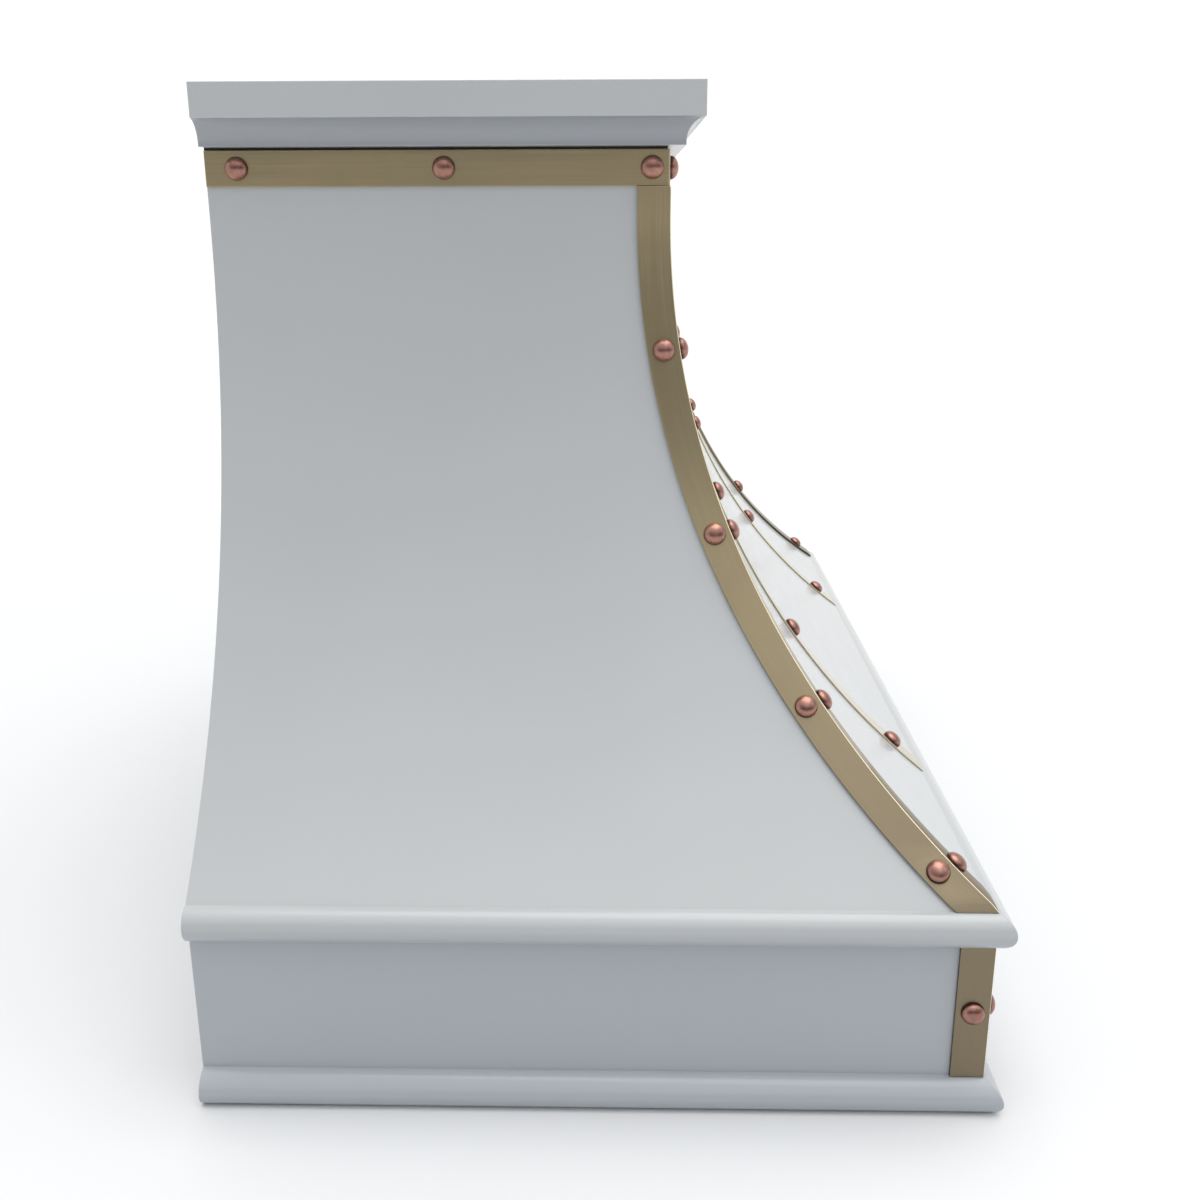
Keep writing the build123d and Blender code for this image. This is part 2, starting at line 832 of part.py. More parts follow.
def build_filter_rails():
    bed = ceiling_top
    lid = bed + filter_thickness + filter_lift_room
    back_face = filter_back_depth - filter_travel - filter_sheet
    back_wall = depth_box(
        -filter_bed_half, filter_bed_half, back_face - filter_sheet, back_face, bed, lid + filter_sheet
    )
    lip_reach = filter_back_depth + filter_rear_overlap
    lip = depth_box(
        -filter_bed_half, filter_bed_half, back_face - filter_sheet, lip_reach, lid, lid + filter_sheet
    )
    stop_face = filter_front_depth + filter_stop_gap
    stop = depth_box(
        -filter_bed_half, filter_bed_half, stop_face, stop_face + filter_sheet, bed, lid - filter_sheet
    )
    parts["filter_rails"] = Compound([back_wall + lip, stop])


def baffle_channel(width, height, length, sheet_thickness):
    outer = Box(width, length, height)
    inner = Pos(0, 0, sheet_thickness) * Box(width - 2 * sheet_thickness, 2 * length, height)
    return outer - inner


def build_filter(name, x_middle):
    bed = ceiling_top
    half = filter_width / 2
    frame = depth_box(
        x_middle - half,
        x_middle + half,
        filter_back_depth,
        filter_front_depth,
        bed,
        bed + filter_thickness,
    )
    inside = depth_box(
        x_middle - half + filter_sheet,
        x_middle + half - filter_sheet,
        filter_back_depth + filter_sheet,
        filter_front_depth - filter_sheet,
        bed + filter_sheet,
        bed + filter_thickness - filter_sheet,
    )
    window = depth_box(
        x_middle - half + filter_flange,
        x_middle + half - filter_flange,
        filter_back_depth + filter_flange,
        filter_front_depth - filter_flange,
        0,
        hood_height,
    )
    parts[name + "_filter_frame"] = frame - inside - window

    clear_height = filter_thickness - 2 * filter_sheet
    channel_height = clear_height / 2 + baffle_lap / 2
    length = filter_depth - 2 * filter_sheet
    middle_y = y_at(filter_back_depth + filter_depth / 2)
    channel = baffle_channel(baffle_width, channel_height, length, baffle_sheet)
    low_z = bed + filter_sheet + channel_height / 2
    high_z = bed + filter_thickness - filter_sheet - channel_height / 2
    baffles = []
    for step in range(baffle_lower_count):
        x = x_middle + (step - (baffle_lower_count - 1) / 2) * baffle_pitch
        baffles.append(Pos(x, middle_y, low_z) * channel)
    for step in range(baffle_lower_count + 1):
        x = x_middle + (step - baffle_lower_count / 2) * baffle_pitch
        baffles.append(Pos(x, middle_y, high_z) * Rot(180, 0, 0) * channel)
    parts[name + "_filter_baffles"] = Compound(baffles)

    handle_y = y_at(filter_front_depth - handle_back_from_front)
    left = x_middle - handle_reach
    right = x_middle + handle_reach
    top = bed + filter_sheet
    low = bed - handle_drop
    path = FilletPolyline(
        (left, handle_y, top), (left, handle_y, low), (right, handle_y, low), (right, handle_y, top),
        radius=handle_bend,
    )
    section = Plane((left, handle_y, top), z_dir=(0, 0, -1)) * Circle(handle_wire)
    parts[name + "_filter_handle"] = sweep(section, path=path)


def build_filters():
    names = ["left", "middle", "right"]
    for step in range(filter_count):
        x = (step - (filter_count - 1) / 2) * (filter_width + filter_gap)
        build_filter(names[step], x)


def build_lamps():
    housings = []
    lenses = []
    under = ceiling_z
    for side in (-1, 1):
        x = side * lamp_x
        y = y_at(strip_depth)
        bezel = cylinder_z(lamp_bezel_radius, under - lamp_bezel_height, under, x, y)
        bezel = fillet(bezel.edges().sort_by(Axis.Z)[0], lamp_bezel_height / 2)
        can = cylinder_z(lamp_radius, under, under + lamp_height, x, y)
        inside = cylinder_z(
            lamp_radius - liner_sheet, under, under + lamp_height - liner_sheet, x, y
        )
        mouth = cylinder_z(lamp_lens_radius, under - lamp_height, under + liner_sheet, x, y)
        housings.append(bezel + can - inside - mouth)
        lens_low = under - lamp_lens_thickness
        lenses.append(cylinder_z(lamp_lens_radius, lens_low, under, x, y))
    parts["lamp_housings"] = Compound(housings)
    parts["lamp_lenses"] = Compound(lenses)


def control_screw_places():
    half = control_width / 2 - 2 * screw_head_radius
    return [(side * half, strip_depth) for side in (-1, 1)]


def control_screw_holes():
    radius = screw_radius + screw_hole_clearance
    return [
        cylinder_z(radius, 0, hood_height, x, y_at(depth)) for x, depth in control_screw_places()
    ]


def build_controls():
    y = y_at(strip_depth)
    face_z = ceiling_z - control_thickness
    plate = depth_box(
        -control_width / 2,
        control_width / 2,
        strip_depth - control_depth / 2,
        strip_depth + control_depth / 2,
        face_z,
        ceiling_z,
    )
    bodies = []
    cuts = control_screw_holes()
    for side, name in ((-1, "fan"), (1, "lamp")):
        x = side * knob_spacing / 2
        cuts.append(cylinder_z(shaft_radius + shaft_hole_clearance, 0, hood_height, x, y))
        top = face_z - knob_gap
        skirt = cylinder_z(knob_skirt_radius, top - knob_skirt_height, top, x, y)
        grip = cylinder_z(knob_radius, top - knob_height, top - knob_skirt_height, x, y)
        grip = fillet(grip.edges().sort_by(Axis.Z)[0], knob_flute)
        flutes = []
        for step in range(knob_flutes):
            turn = 2 * math.pi * step / knob_flutes
            reach = knob_radius + knob_flute / 2
            flutes.append(
                cylinder_z(
                    knob_flute,
                    top - knob_height,
                    top - knob_skirt_height,
                    x + reach * math.cos(turn),
                    y + reach * math.sin(turn),
                )
            )
        shaft_end = top - knob_height / 2
        bore = cylinder_z(shaft_radius + press_clearance, shaft_end, top, x, y)
        parts[name + "_knob"] = skirt + grip - flutes - bore
        shaft_top = ceiling_top + switch_height / 2
        parts[name + "_knob_shaft"] = cylinder_z(shaft_radius, shaft_end, shaft_top, x, y)
        body_z = ceiling_top + switch_height / 2
        body = Pos(x, y, body_z) * Box(switch_width, switch_width, switch_height)
        socket = cylinder_z(shaft_radius + shaft_clearance, 0, shaft_top, x, y)
        bodies.append(body - socket)
    parts["control_plate"] = plate - cuts
    parts["switch_bodies"] = Compound(bodies)


def build_plenum():
    lower = depth_box(-plenum_half, plenum_half, plenum_back, plenum_front, ceiling_top, plenum_top)
    upper = depth_box(
        -blower_box_half_width,
        blower_box_half_width,
        blower_box_back_depth,
        blower_box_front_depth,
        plenum_top,
        blower_box_top,
    )
    wall = plenum_sheet
    lower_space = depth_box(
        -plenum_half + wall,
        plenum_half - wall,
        plenum_back + wall,
        plenum_front - wall,
        0,
        plenum_top - wall,
    )
    upper_space = depth_box(
        -blower_box_half_width + wall,
        blower_box_half_width - wall,
        blower_box_back_depth + wall,
        blower_box_front_depth - wall,
        0,
        blower_box_top - wall,
    )
    outlet = outlet_box(scroll_sheet, 0, hood_height)
    parts["plenum_box"] = lower + upper - lower_space - upper_space - outlet


# The scroll's outlet channel, drawn in by inset, between two heights
def outlet_box(inset, z_low, z_high):
    half = scroll_inner_width / 2 + scroll_sheet - inset
    tongue = scroll_tongue_radius * math.cos(math.radians(scroll_tongue_angle))
    return depth_box(
        -half,
        half,
        fan_axis_depth - scroll_end_radius + inset,
        fan_axis_depth - tongue - inset,
        z_low,
        z_high,
    )


# Scroll outline in the YZ plane: a spiral from the tongue round to the outlet's outer wall
def scroll_face(inset):
    start = math.radians(scroll_tongue_angle)
    points = []
    for step in range(scroll_spiral_points):
        share = step / (scroll_spiral_points - 1)
        turn = start + (2 * math.pi - start) * share
        radius = scroll_tongue_radius + (scroll_end_radius - scroll_tongue_radius) * share - inset
        points.append((fan_y + radius * math.cos(turn), fan_axis_z + radius * math.sin(turn)))
    top = blower_box_top - plenum_sheet + inset
    spiral = Spline(*points, tangents=[(-math.sin(start), math.cos(start)), (0, 1)])
    edges = [
        spiral,
        Line(points[-1], (points[-1][0], top)),
        Line((points[-1][0], top), (points[0][0], top)),
        Line((points[0][0], top), points[0]),
    ]
    return Plane.YZ * make_face(Curve() + edges)


def build_scroll():
    half_inner = scroll_inner_width / 2
    half_outer = half_inner + scroll_sheet
    casing = across(scroll_face(0), half_outer)
    space = across(scroll_face(scroll_sheet), half_inner)
    inlet = cylinder_x(inlet_radius, -big, big, fan_y, fan_axis_z)
    lips = []
    for side in (-1, 1):
        near = side * half_inner
        far = side * (half_inner - inlet_lip_height)
        ring = cylinder_x(inlet_radius + scroll_sheet, min(near, far), max(near, far), fan_y, fan_axis_z)
        lips.append(ring)
    parts["scroll_housing"] = casing - space + lips - inlet


def build_wheel():
    half = wheel_width / 2
    disc = cylinder_x(wheel_radius, -wheel_sheet / 2, wheel_sheet / 2, fan_y, fan_axis_z)
    hub = cylinder_x(hub_radius, -hub_length / 2, hub_length / 2, fan_y, fan_axis_z)
    rings = []
    for side in (-1, 1):
        edge = side * half
        inner = side * (half - wheel_ring_width)
        outer_ring = cylinder_x(wheel_radius, min(edge, inner), max(edge, inner), fan_y, fan_axis_z)
        inner_ring = cylinder_x(wheel_inner_radius + wheel_ring_lap, -half, half, fan_y, fan_axis_z)
        rings.append(outer_ring - inner_ring)
    blades = []
    for step in range(blade_count):
        turn = 360 * step / blade_count
        reach = wheel_radius - wheel_inner_radius
        blade = Rot(blade_tilt, 0, 0) * Box(wheel_width, reach, blade_thickness)
        plate = Pos(0, (wheel_radius + wheel_inner_radius) / 2, 0) * blade
        blades.append(Pos(0, fan_y, fan_axis_z) * Rot(turn, 0, 0) * plate)
    wheel = disc + hub + rings + blades
    bore = cylinder_x(motor_shaft_radius + press_clearance, -big, big, fan_y, fan_axis_z)
    parts["impeller"] = wheel - bore


def build_motor():
    face = -(scroll_inner_width / 2 + scroll_sheet + motor_standoff)
    back = face - motor_length
    can = cylinder_x(motor_radius, back, face, fan_y, fan_axis_z)
    can = fillet(can.edges().sort_by(Axis.X)[0], motor_rim_height)
    rim = cylinder_x(motor_rim_radius, face - motor_rim_height, face, fan_y, fan_axis_z)
    bore = cylinder_x(
        motor_shaft_radius + shaft_clearance, face - motor_shaft_depth, face, fan_y, fan_axis_z
    )
    parts["motor"] = can + rim - bore
    shaft_back = face - motor_shaft_depth + motor_shaft_end_room
    shaft_front = hub_length / 2 + motor_shaft_overhang
    parts["motor_shaft"] = cylinder_x(motor_shaft_radius, shaft_back, shaft_front, fan_y, fan_axis_z)
    ring = cylinder_x(motor_rim_radius, face, face + spider_thickness, fan_y, fan_axis_z)
    eye = cylinder_x(2 * motor_shaft_radius, -big, big, fan_y, fan_axis_z)
    arms = []
    for step in range(spider_arms):
        turn = Pos(0, fan_y, fan_axis_z) * Rot(360 * step / spider_arms + 90, 0, 0)
        bar = Pos(face + spider_thickness / 2, spider_reach / 2, 0) * Box(
            spider_thickness, spider_reach, spider_arm_width
        )
        foot = Pos(face + motor_standoff / 2, spider_reach - spider_thickness, 0) * Box(
            motor_standoff, 2 * spider_thickness, spider_arm_width
        )
        arms.append(turn * (bar + foot))
    parts["motor_bracket"] = ring + arms - eye


# Duct pieces, all round the same vertical axis
def duct_tube(z_low, z_high):
    outer = cylinder_z(duct_radius, z_low, z_high, 0, duct_y)
    inner = cylinder_z(duct_radius - duct_sheet, z_low - duct_sheet, z_high + duct_sheet, 0, duct_y)
    return outer - inner


def transition_solid(inset):
    box_low = outlet_box(inset, 0, hood_height).bounding_box()
    low_face = Pos(box_low.center().X, box_low.center().Y, blower_box_top) * Rectangle(
        box_low.size.X, box_low.size.Y
    )
    high_face = Pos(0, duct_y, damper_low_z) * Circle(duct_radius - inset)
    return loft([low_face, high_face])


def build_duct():
    parts["outlet_transition"] = transition_solid(0) - transition_solid(duct_sheet)
    collar = duct_tube(damper_low_z, damper_top_z)
    stop_top = flap_z - flap_thickness / 2 - flap_stop_gap
    stop_low = stop_top - flap_stop_thickness
    ring = cylinder_z(duct_radius - duct_sheet / 2, stop_low, stop_top, 0, duct_y)
    ring_hole = duct_radius - duct_sheet - flap_stop_width
    ring = ring - cylinder_z(ring_hole, 0, hood_height, 0, duct_y)
    hinge_zone = flap_hinge_offset + flap_knuckle_radius + flap_clearance
    notch = Pos(0, duct_y, (stop_low + stop_top) / 2) * Box(
        2 * (duct_radius - duct_sheet), 2 * hinge_zone, 2 * flap_stop_thickness
    )
    ring = ring - (notch & cylinder_z(duct_radius - duct_sheet, 0, hood_height, 0, duct_y))
    collar = collar + ring
    pins = []
    disc_radius = duct_radius - duct_sheet - flap_clearance
    knuckle_half = disc_radius - flap_clearance
    for name, side in (("rear_damper_flap", 1), ("front_damper_flap", -1)):
        hinge_y = duct_y + side * flap_hinge_offset
        pin_end = duct_radius + flap_pin_radius
        pins.append(cylinder_x(flap_pin_radius, -pin_end, pin_end, hinge_y, flap_z))
        hole = cylinder_x(flap_pin_radius + flap_pin_clearance, -big, big, hinge_y, flap_z)
        collar = collar - hole
        disc = cylinder_z(disc_radius, flap_z - flap_thickness / 2, flap_z + flap_thickness / 2, 0, duct_y)
        keep_y = hinge_y + side * hood_depth / 2
        keep = Pos(0, keep_y, flap_z) * Box(big, hood_depth, 2 * flap_knuckle_radius)
        knuckle = cylinder_x(flap_knuckle_radius, -knuckle_half, knuckle_half, hinge_y, flap_z)
        parts[name] = (disc & keep) + knuckle - hole
    parts["damper_collar"] = collar
    parts["damper_pins"] = Compound(pins)
    parts["duct_pipe"] = duct_tube(damper_top_z, top_plate_z)

    seat = top_plate_z + sheet
    flange = cylinder_z(collar_flange_radius, seat, seat + duct_sheet, 0, duct_y)
    flange = flange - cylinder_z(duct_radius - duct_sheet, 0, hood_height, 0, duct_y)
    parts["duct_collar"] = duct_tube(seat, seat + collar_height) + flange


def build_junction_box():
    half_x = junction_width / 2
    half_y = junction_length / 2
    low = plenum_top
    high = low + junction_height
    wall = junction_sheet
    x_low = junction_x - half_x
    x_high = junction_x + half_x
    back = junction_depth - half_y
    front = junction_depth + half_y
    case = depth_box(x_low, x_high, back, front, low, high)
    space = depth_box(x_low + wall, x_high - wall, back + wall, front - wall, low + wall, high + wall)
    bush_z = low + junction_height / 2
    bush_y = y_at(junction_depth)
    bush = cylinder_x(bush_radius, x_high, x_high + bush_length, bush_y, bush_z)
    bore = cylinder_x(bush_bore, x_high - 2 * wall, x_high + 2 * bush_length, bush_y, bush_z)
    parts["junction_box"] = case - space - bore
    parts["cable_bush"] = bush - bore
    parts["junction_cover"] = depth_box(x_low, x_high, back, front, high, high + wall)


def build_screws():
    screws = [screw_up(x, depth, liner_z) for x, depth in liner_screw_places()]
    screws += [
        screw_up(x, depth, ceiling_z - control_thickness) for x, depth in control_screw_places()
    ]
    parts["screws"] = Compound(screws)


build_panels()
build_apron()
build_mouldings()
build_wall_plate()
build_top_plate()
build_neck_band()
build_curved_straps()
build_apron_straps()
build_rivets()
build_liner()
build_filter_rails()
build_filters()
build_lamps()
build_controls()
build_plenum()
build_scroll()
build_wheel()
build_motor()
build_duct()
build_junction_box()
build_screws()

os.makedirs("parts", exist_ok=True)
for node, shape in parts.items():
    export_step(shape, "parts/" + node + ".step")
    print(node, len(shape.solids()), round(shape.volume))
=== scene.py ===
import json
import math
import bmesh
import bpy
from mathutils import Matrix, Vector


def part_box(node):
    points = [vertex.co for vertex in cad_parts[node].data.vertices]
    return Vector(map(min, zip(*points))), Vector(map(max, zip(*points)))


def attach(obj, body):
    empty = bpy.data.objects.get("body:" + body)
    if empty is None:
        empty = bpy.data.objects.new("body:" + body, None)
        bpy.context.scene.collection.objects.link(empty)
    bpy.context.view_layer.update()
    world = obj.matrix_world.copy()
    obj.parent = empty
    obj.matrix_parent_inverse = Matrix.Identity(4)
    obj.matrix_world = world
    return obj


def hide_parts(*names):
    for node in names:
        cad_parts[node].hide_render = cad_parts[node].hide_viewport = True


# Range hood with a bell-shaped white body, brass straps and copper dome rivets.
# Metres. The wall is at +y, the front faces -y, z is up. Depths are measured from the wall.

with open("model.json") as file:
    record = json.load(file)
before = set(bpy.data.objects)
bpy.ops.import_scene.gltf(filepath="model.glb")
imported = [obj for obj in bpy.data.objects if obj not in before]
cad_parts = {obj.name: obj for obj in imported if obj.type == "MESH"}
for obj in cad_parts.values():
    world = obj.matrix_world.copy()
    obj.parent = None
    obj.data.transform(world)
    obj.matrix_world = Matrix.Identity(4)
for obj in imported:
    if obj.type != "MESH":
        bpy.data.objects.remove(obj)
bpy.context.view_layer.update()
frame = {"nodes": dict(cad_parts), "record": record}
scene = bpy.context.scene
scene.view_settings.view_transform = "Standard"  # so that a white studio stays white
print("frame loaded:", len(frame["nodes"]), "nodes")

# What the frame gives: the faces and levels that every visual piece is built from
apronLow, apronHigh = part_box("apron")
bandLow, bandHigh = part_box("neck_band")
crownLow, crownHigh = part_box("crown_moulding")
beltLow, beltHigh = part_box("belt_moulding")
footLow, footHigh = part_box("foot_moulding")
topLow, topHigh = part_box("top_plate")
stripLow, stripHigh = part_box("left_apron_strap")
wallY = apronHigh.y
apronHalf = apronHigh.x
apronFront = wallY - apronLow.y
jointZ = apronHigh.z

# A user's choices for the body, in metres
bodyValues = {
    "sheet": 0.0015,
    "neckStraight": 0.0221,
    "panelTopGap": 0.0015,
    "acrossSteps": 56,
    "heightSteps": 110,
    "crownFascia": 0.0258,
}

neckHalf = topHigh.x + bodyValues["sheet"]
neckFront = wallY - topLow.y + bodyValues["sheet"]
arcTop = bandLow.z - bodyValues["neckStraight"]
beltTop = beltHigh.z
arcHeight = arcTop - beltTop
sideFlare = apronHalf - neckHalf
frontFlare = apronFront - neckFront


# Radius of an arc that leaves the vertical at the neck and has moved out by flare at the belt
def arcRadius(flare):
    return (arcHeight ** 2 + flare ** 2) / (2 * flare)


sideRadius = arcRadius(sideFlare)
frontRadius = arcRadius(frontFlare)


def yAt(depth):
    return wallY - depth


# How far a bell curve reaches out at a height. A positive inset draws it inwards.
def reach(neck, radius, flare, inset, z):
    drop = max(arcTop - z, 0)
    curve = neck + radius - math.sqrt((radius + inset) ** 2 - drop ** 2)
    return min(curve, neck + flare - inset)


def sideReach(inset, z):
    return reach(neckHalf, sideRadius, sideFlare, inset, z)


def frontReach(inset, z):
    return reach(neckFront, frontRadius, frontFlare, inset, z)


# Length along the front curve from the neck band down to a height
def frontLength(z):
    drop = max(arcTop - z, 0)
    return min(bandLow.z - z, bodyValues["neckStraight"]) + frontRadius * math.asin(drop / frontRadius)


# Node trees written as expressions: a Wire is one socket, and arithmetic on it adds Math nodes
class Wire:
    def __init__(self, graph, socket):
        self.graph = graph
        self.socket = socket

    def math(self, operation, *others):
        inputs = {index: value for index, value in enumerate((self,) + others)}
        return self.graph.node("ShaderNodeMath", {"operation": operation}, inputs)

    def __add__(self, other):
        return self.math("ADD", other)

    __radd__ = __add__

    def __sub__(self, other):
        return self.math("SUBTRACT", other)

    def __rsub__(self, other):
        return self.graph.node("ShaderNodeMath", {"operation": "SUBTRACT"}, {0: other, 1: self})

    def __mul__(self, other):
        return self.math("MULTIPLY", other)

    __rmul__ = __mul__

    def __truediv__(self, other):
        return self.math("DIVIDE", other)

    def __pow__(self, other):
        return self.math("POWER", other)

    def clamp(self, low=0.0, high=1.0):
        return self.math("MAXIMUM", low).math("MINIMUM", high)

    # 1 between two levels and 0 elsewhere
    def between(self, low, high):
        return self.math("GREATER_THAN", low) * self.math("LESS_THAN", high)


class Graph:
    def __init__(self, tree):
        self.tree = tree

    def feed(self, socket, value):
        if isinstance(value, Wire):
            self.tree.links.new(value.socket, socket)
        else:
            socket.default_value = value

    def node(self, kind, settings=None, inputs=None, out=0):
        made = self.tree.nodes.new(kind)
        for name, value in (settings or {}).items():
            setattr(made, name, value)
        for name, value in (inputs or {}).items():
            self.feed(made.inputs[name], value)
        return Wire(self, made.outputs[out])

    def mixColour(self, share, first, second):
        made = self.tree.nodes.new("ShaderNodeMix")
        made.data_type = "RGBA"
        self.feed(made.inputs[0], share)
        self.feed(made.inputs[6], first)
        self.feed(made.inputs[7], second)
        return Wire(self, made.outputs[2])

    # The x, y or z of a vector, for an index of 0, 1 or 2
    def axis(self, vector, index):
        return self.node("ShaderNodeSeparateXYZ", {}, {0: vector}, out=index)

    def join(self, *parts):
        made = self.tree.nodes.new("GeometryNodeJoinGeometry")
        for part in parts:
            self.tree.links.new(part.socket, made.inputs[0])
        return Wire(self, made.outputs[0])

    def noise(self, vector, scale, detail=3.0, roughness=0.5):
        return self.node(
            "ShaderNodeTexNoise",
            {"noise_dimensions": "3D"},
            {"Vector": vector, "Scale": scale, "Detail": detail, "Roughness": roughness},
            out="Fac",
        )

    def stretch(self, vector, scale, turn=(0.0, 0.0, 0.0)):
        return self.node("ShaderNodeMapping", {}, {"Vector": vector, "Scale": scale, "Rotation": turn})

    def bump(self, height, strength, distance):
        return self.node(
            "ShaderNodeBump", {}, {"Height": height, "Strength": strength, "Distance": distance}, out="Normal"
        )


# Surfaces


def startMaterial(name):
    material = bpy.data.materials.new(name)
    material.use_nodes = True
    material.node_tree.nodes.clear()
    graph = Graph(material.node_tree)
    place = graph.node("ShaderNodeTexCoord", out="Object")
    return material, graph, place


def endMaterial(graph, sockets):
    shader = graph.node("ShaderNodeBsdfPrincipled", {}, sockets)
    output = graph.tree.nodes.new("ShaderNodeOutputMaterial")
    graph.tree.links.new(shader.socket, output.inputs["Surface"])


# A colour made darker or lighter
def tinted(colour, factor, lift=0.0):
    return tuple(min(channel * factor + lift, 1.0) for channel in colour[:3]) + (1.0,)


paintValues = {
    "light": (0.475, 0.490, 0.494, 1.0),
    "shade": (0.453, 0.469, 0.473, 1.0),
    "roughness": 0.34,
    "coat": 0.45,
    "coatRoughness": 0.11,
    # painted shade colour for the paint from the belt down, with where it starts and how fast it comes in
    "lowShade": (0.404, 0.429, 0.456, 1.0),
    "lowShadeStart": 0.009,
    "lowShadeRate": 60.0,
    # painted shade colour for the crown's cove
    "cove": (0.325, 0.343, 0.366, 1.0),
    # painted shadow colour for the gap under the crown, and the band of height it covers
    "gapShadow": (0.012, 0.012, 0.013, 1.0),
    "gapShadowTuck": 0.001,
    "gapShadowMargin": 0.0001,
    "cloudScale": 5.0,
    "wipeScale": 2.4,
    "wipeStretch": (3.0, 3.0, 22.0),
    "wipeTurn": (0.3, 0.2, 0.0),
    "peelScale": 420.0,
    "broadScale": 14.0,
    "peelDepth": 0.00004,
}


# Sprayed satin paint: a faint cloud in the colour, orange peel, a few soft wipe marks. Shade is
# painted into the colour: it is darker and cooler from the belt down and in the crown's cove,
# and a near-black, matte painted shadow fills the gap between the neck band and the crown.
def paintMaterial():
    material, graph, place = startMaterial("satinWhitePaint")
    cloud = graph.noise(place, paintValues["cloudScale"], 2.0)
    wiped = graph.stretch(place, paintValues["wipeStretch"], paintValues["wipeTurn"])
    wipe = graph.noise(wiped, paintValues["wipeScale"], 4.0)
    peel = graph.noise(place, paintValues["peelScale"], 1.5)
    broad = graph.noise(place, paintValues["broadScale"], 1.0)
    height = graph.axis(place, 2)
    # painted shadow: a near-black, matte band on the sheet in the gap between the neck band and the crown
    gapShadowMask = height.between(bandHigh.z - paintValues["gapShadowTuck"], crownLow.z - paintValues["gapShadowMargin"])
    # painted shade: the colour turns darker and cooler from the belt down
    lower = (beltTop - paintValues["lowShadeStart"] - height) * paintValues["lowShadeRate"]
    # painted shade in the crown's cove, between its lip and its fascia
    cove = height.between(crownLow.z, crownHigh.z - bodyValues["crownFascia"])
    colour = graph.mixColour((cloud * 1.6 - 0.3).clamp(), paintValues["shade"], paintValues["light"])
    colour = graph.mixColour(lower.clamp(), colour, paintValues["lowShade"])
    colour = graph.mixColour(cove, colour, paintValues["cove"])
    endMaterial(
        graph,
        {
            "Base Color": graph.mixColour(gapShadowMask, colour, paintValues["gapShadow"]),
            "Roughness": paintValues["roughness"] + (wipe - 0.5) * 0.10 + (peel - 0.5) * 0.05 + gapShadowMask * 0.4,
            "Coat Weight": (paintValues["coat"] + (wipe - 0.5) * 0.15) * (1.0 - gapShadowMask),
            "Coat Roughness": paintValues["coatRoughness"],
            "Specular IOR Level": 0.45,
            "Normal": graph.bump(peel + broad * 2.0, 0.35, paintValues["peelDepth"]),
        },
    )
    return material


brassValues = {
    "light": (0.49, 0.395, 0.24, 1.0),
    "dark": (0.37, 0.30, 0.18, 1.0),
    "tarnish": (0.30, 0.245, 0.15, 1.0),
    # painted shade: the dark brown that the brass turns towards the cooktop, where it starts and how fast
    "filmAndShade": (0.148, 0.121, 0.088, 1.0),
    "shadeTop": 0.42,
    "shadeRate": 3.6,
    # painted highlight colour and painted edge-shade colour, laid on by the mesh's mark
    "paintedHighlight": (1.0, 0.90, 0.64, 1.0),
    "paintedEdgeShade": (0.085, 0.068, 0.045, 1.0),
    "lacquerRoughness": 0.16,
    "grainAcross": 2600.0,
    "grainAlong": 9.0,
    "grainCoarser": 6,
    "coarseAlong": 3.0,
    "grainDepth": 0.00002,
    "cloudScale": 11.0,
    "roughness": 0.33,
}


# Brushed satin brass. The grain follows each strap's own UV: u runs along it, v across it. A mark on
# the mesh paints a highlight where it is above 0, full at 1, on a strap's corner or face, and painted
# shade where it is below 0, a near-black line on an edge at -1. Painted shade also darkens and browns
# the brass towards the cooktop, up to the share that the second argument gives.
def brassMaterial(name, filmAndShade, lacquer):
    material, graph, place = startMaterial(name)
    height = graph.axis(place, 2)
    highlightAndShade = graph.node("ShaderNodeAttribute", {"attribute_name": "highlightAndShade"}, out="Fac")
    strip = graph.node("ShaderNodeTexCoord", out="UV")
    across = brassValues["grainAcross"]
    fine = graph.noise(graph.stretch(strip, (brassValues["grainAlong"], across, 1.0)), 1.0, 4.0, 0.6)
    coarser = (brassValues["coarseAlong"], across / brassValues["grainCoarser"], 1.0)
    coarse = graph.noise(graph.stretch(strip, coarser), 1.0, 3.0)
    cloud = graph.noise(place, brassValues["cloudScale"], 3.0)
    grain = (fine * 0.65 + coarse * 0.35).clamp()
    colour = graph.mixColour((grain * 2.2 - 0.6).clamp(), brassValues["dark"], brassValues["light"])
    colour = graph.mixColour((cloud * 1.8 - 0.95).clamp(0.0, 0.35), colour, brassValues["tarnish"])
    # painted shade: the brass darkens and browns below a height, up to the given share
    paintedLowShade = ((brassValues["shadeTop"] - height) * brassValues["shadeRate"]).clamp(0.0, filmAndShade)
    colour = graph.mixColour(paintedLowShade, colour, brassValues["filmAndShade"])
    # painted shade on marked edges, then painted highlight on marked corners and faces
    colour = graph.mixColour((highlightAndShade * -1.0).clamp(), colour, brassValues["paintedEdgeShade"])
    colour = graph.mixColour(highlightAndShade.clamp(), colour, brassValues["paintedHighlight"])
    endMaterial(
        graph,
        {
            "Base Color": colour,
            "Metallic": 1.0,
            "Roughness": brassValues["roughness"] + (grain - 0.5) * 0.22 + (cloud - 0.5) * 0.10,
            "Coat Weight": lacquer,
            "Coat Roughness": brassValues["lacquerRoughness"],
            "Normal": graph.bump(grain, 0.5, brassValues["grainDepth"]),
        },
    )
    return material


copperValues = {
    "light": (0.47, 0.25, 0.195, 1.0),
    "dark": (0.27, 0.135, 0.11, 1.0),
    # painted shadow colour round the foot of each dome
    "foot": (0.10, 0.045, 0.04, 1.0),
    "roughness": 0.31,
    "filmScale": 160.0,
    "speckScale": 1500.0,
    "speckDepth": 0.00002,
}


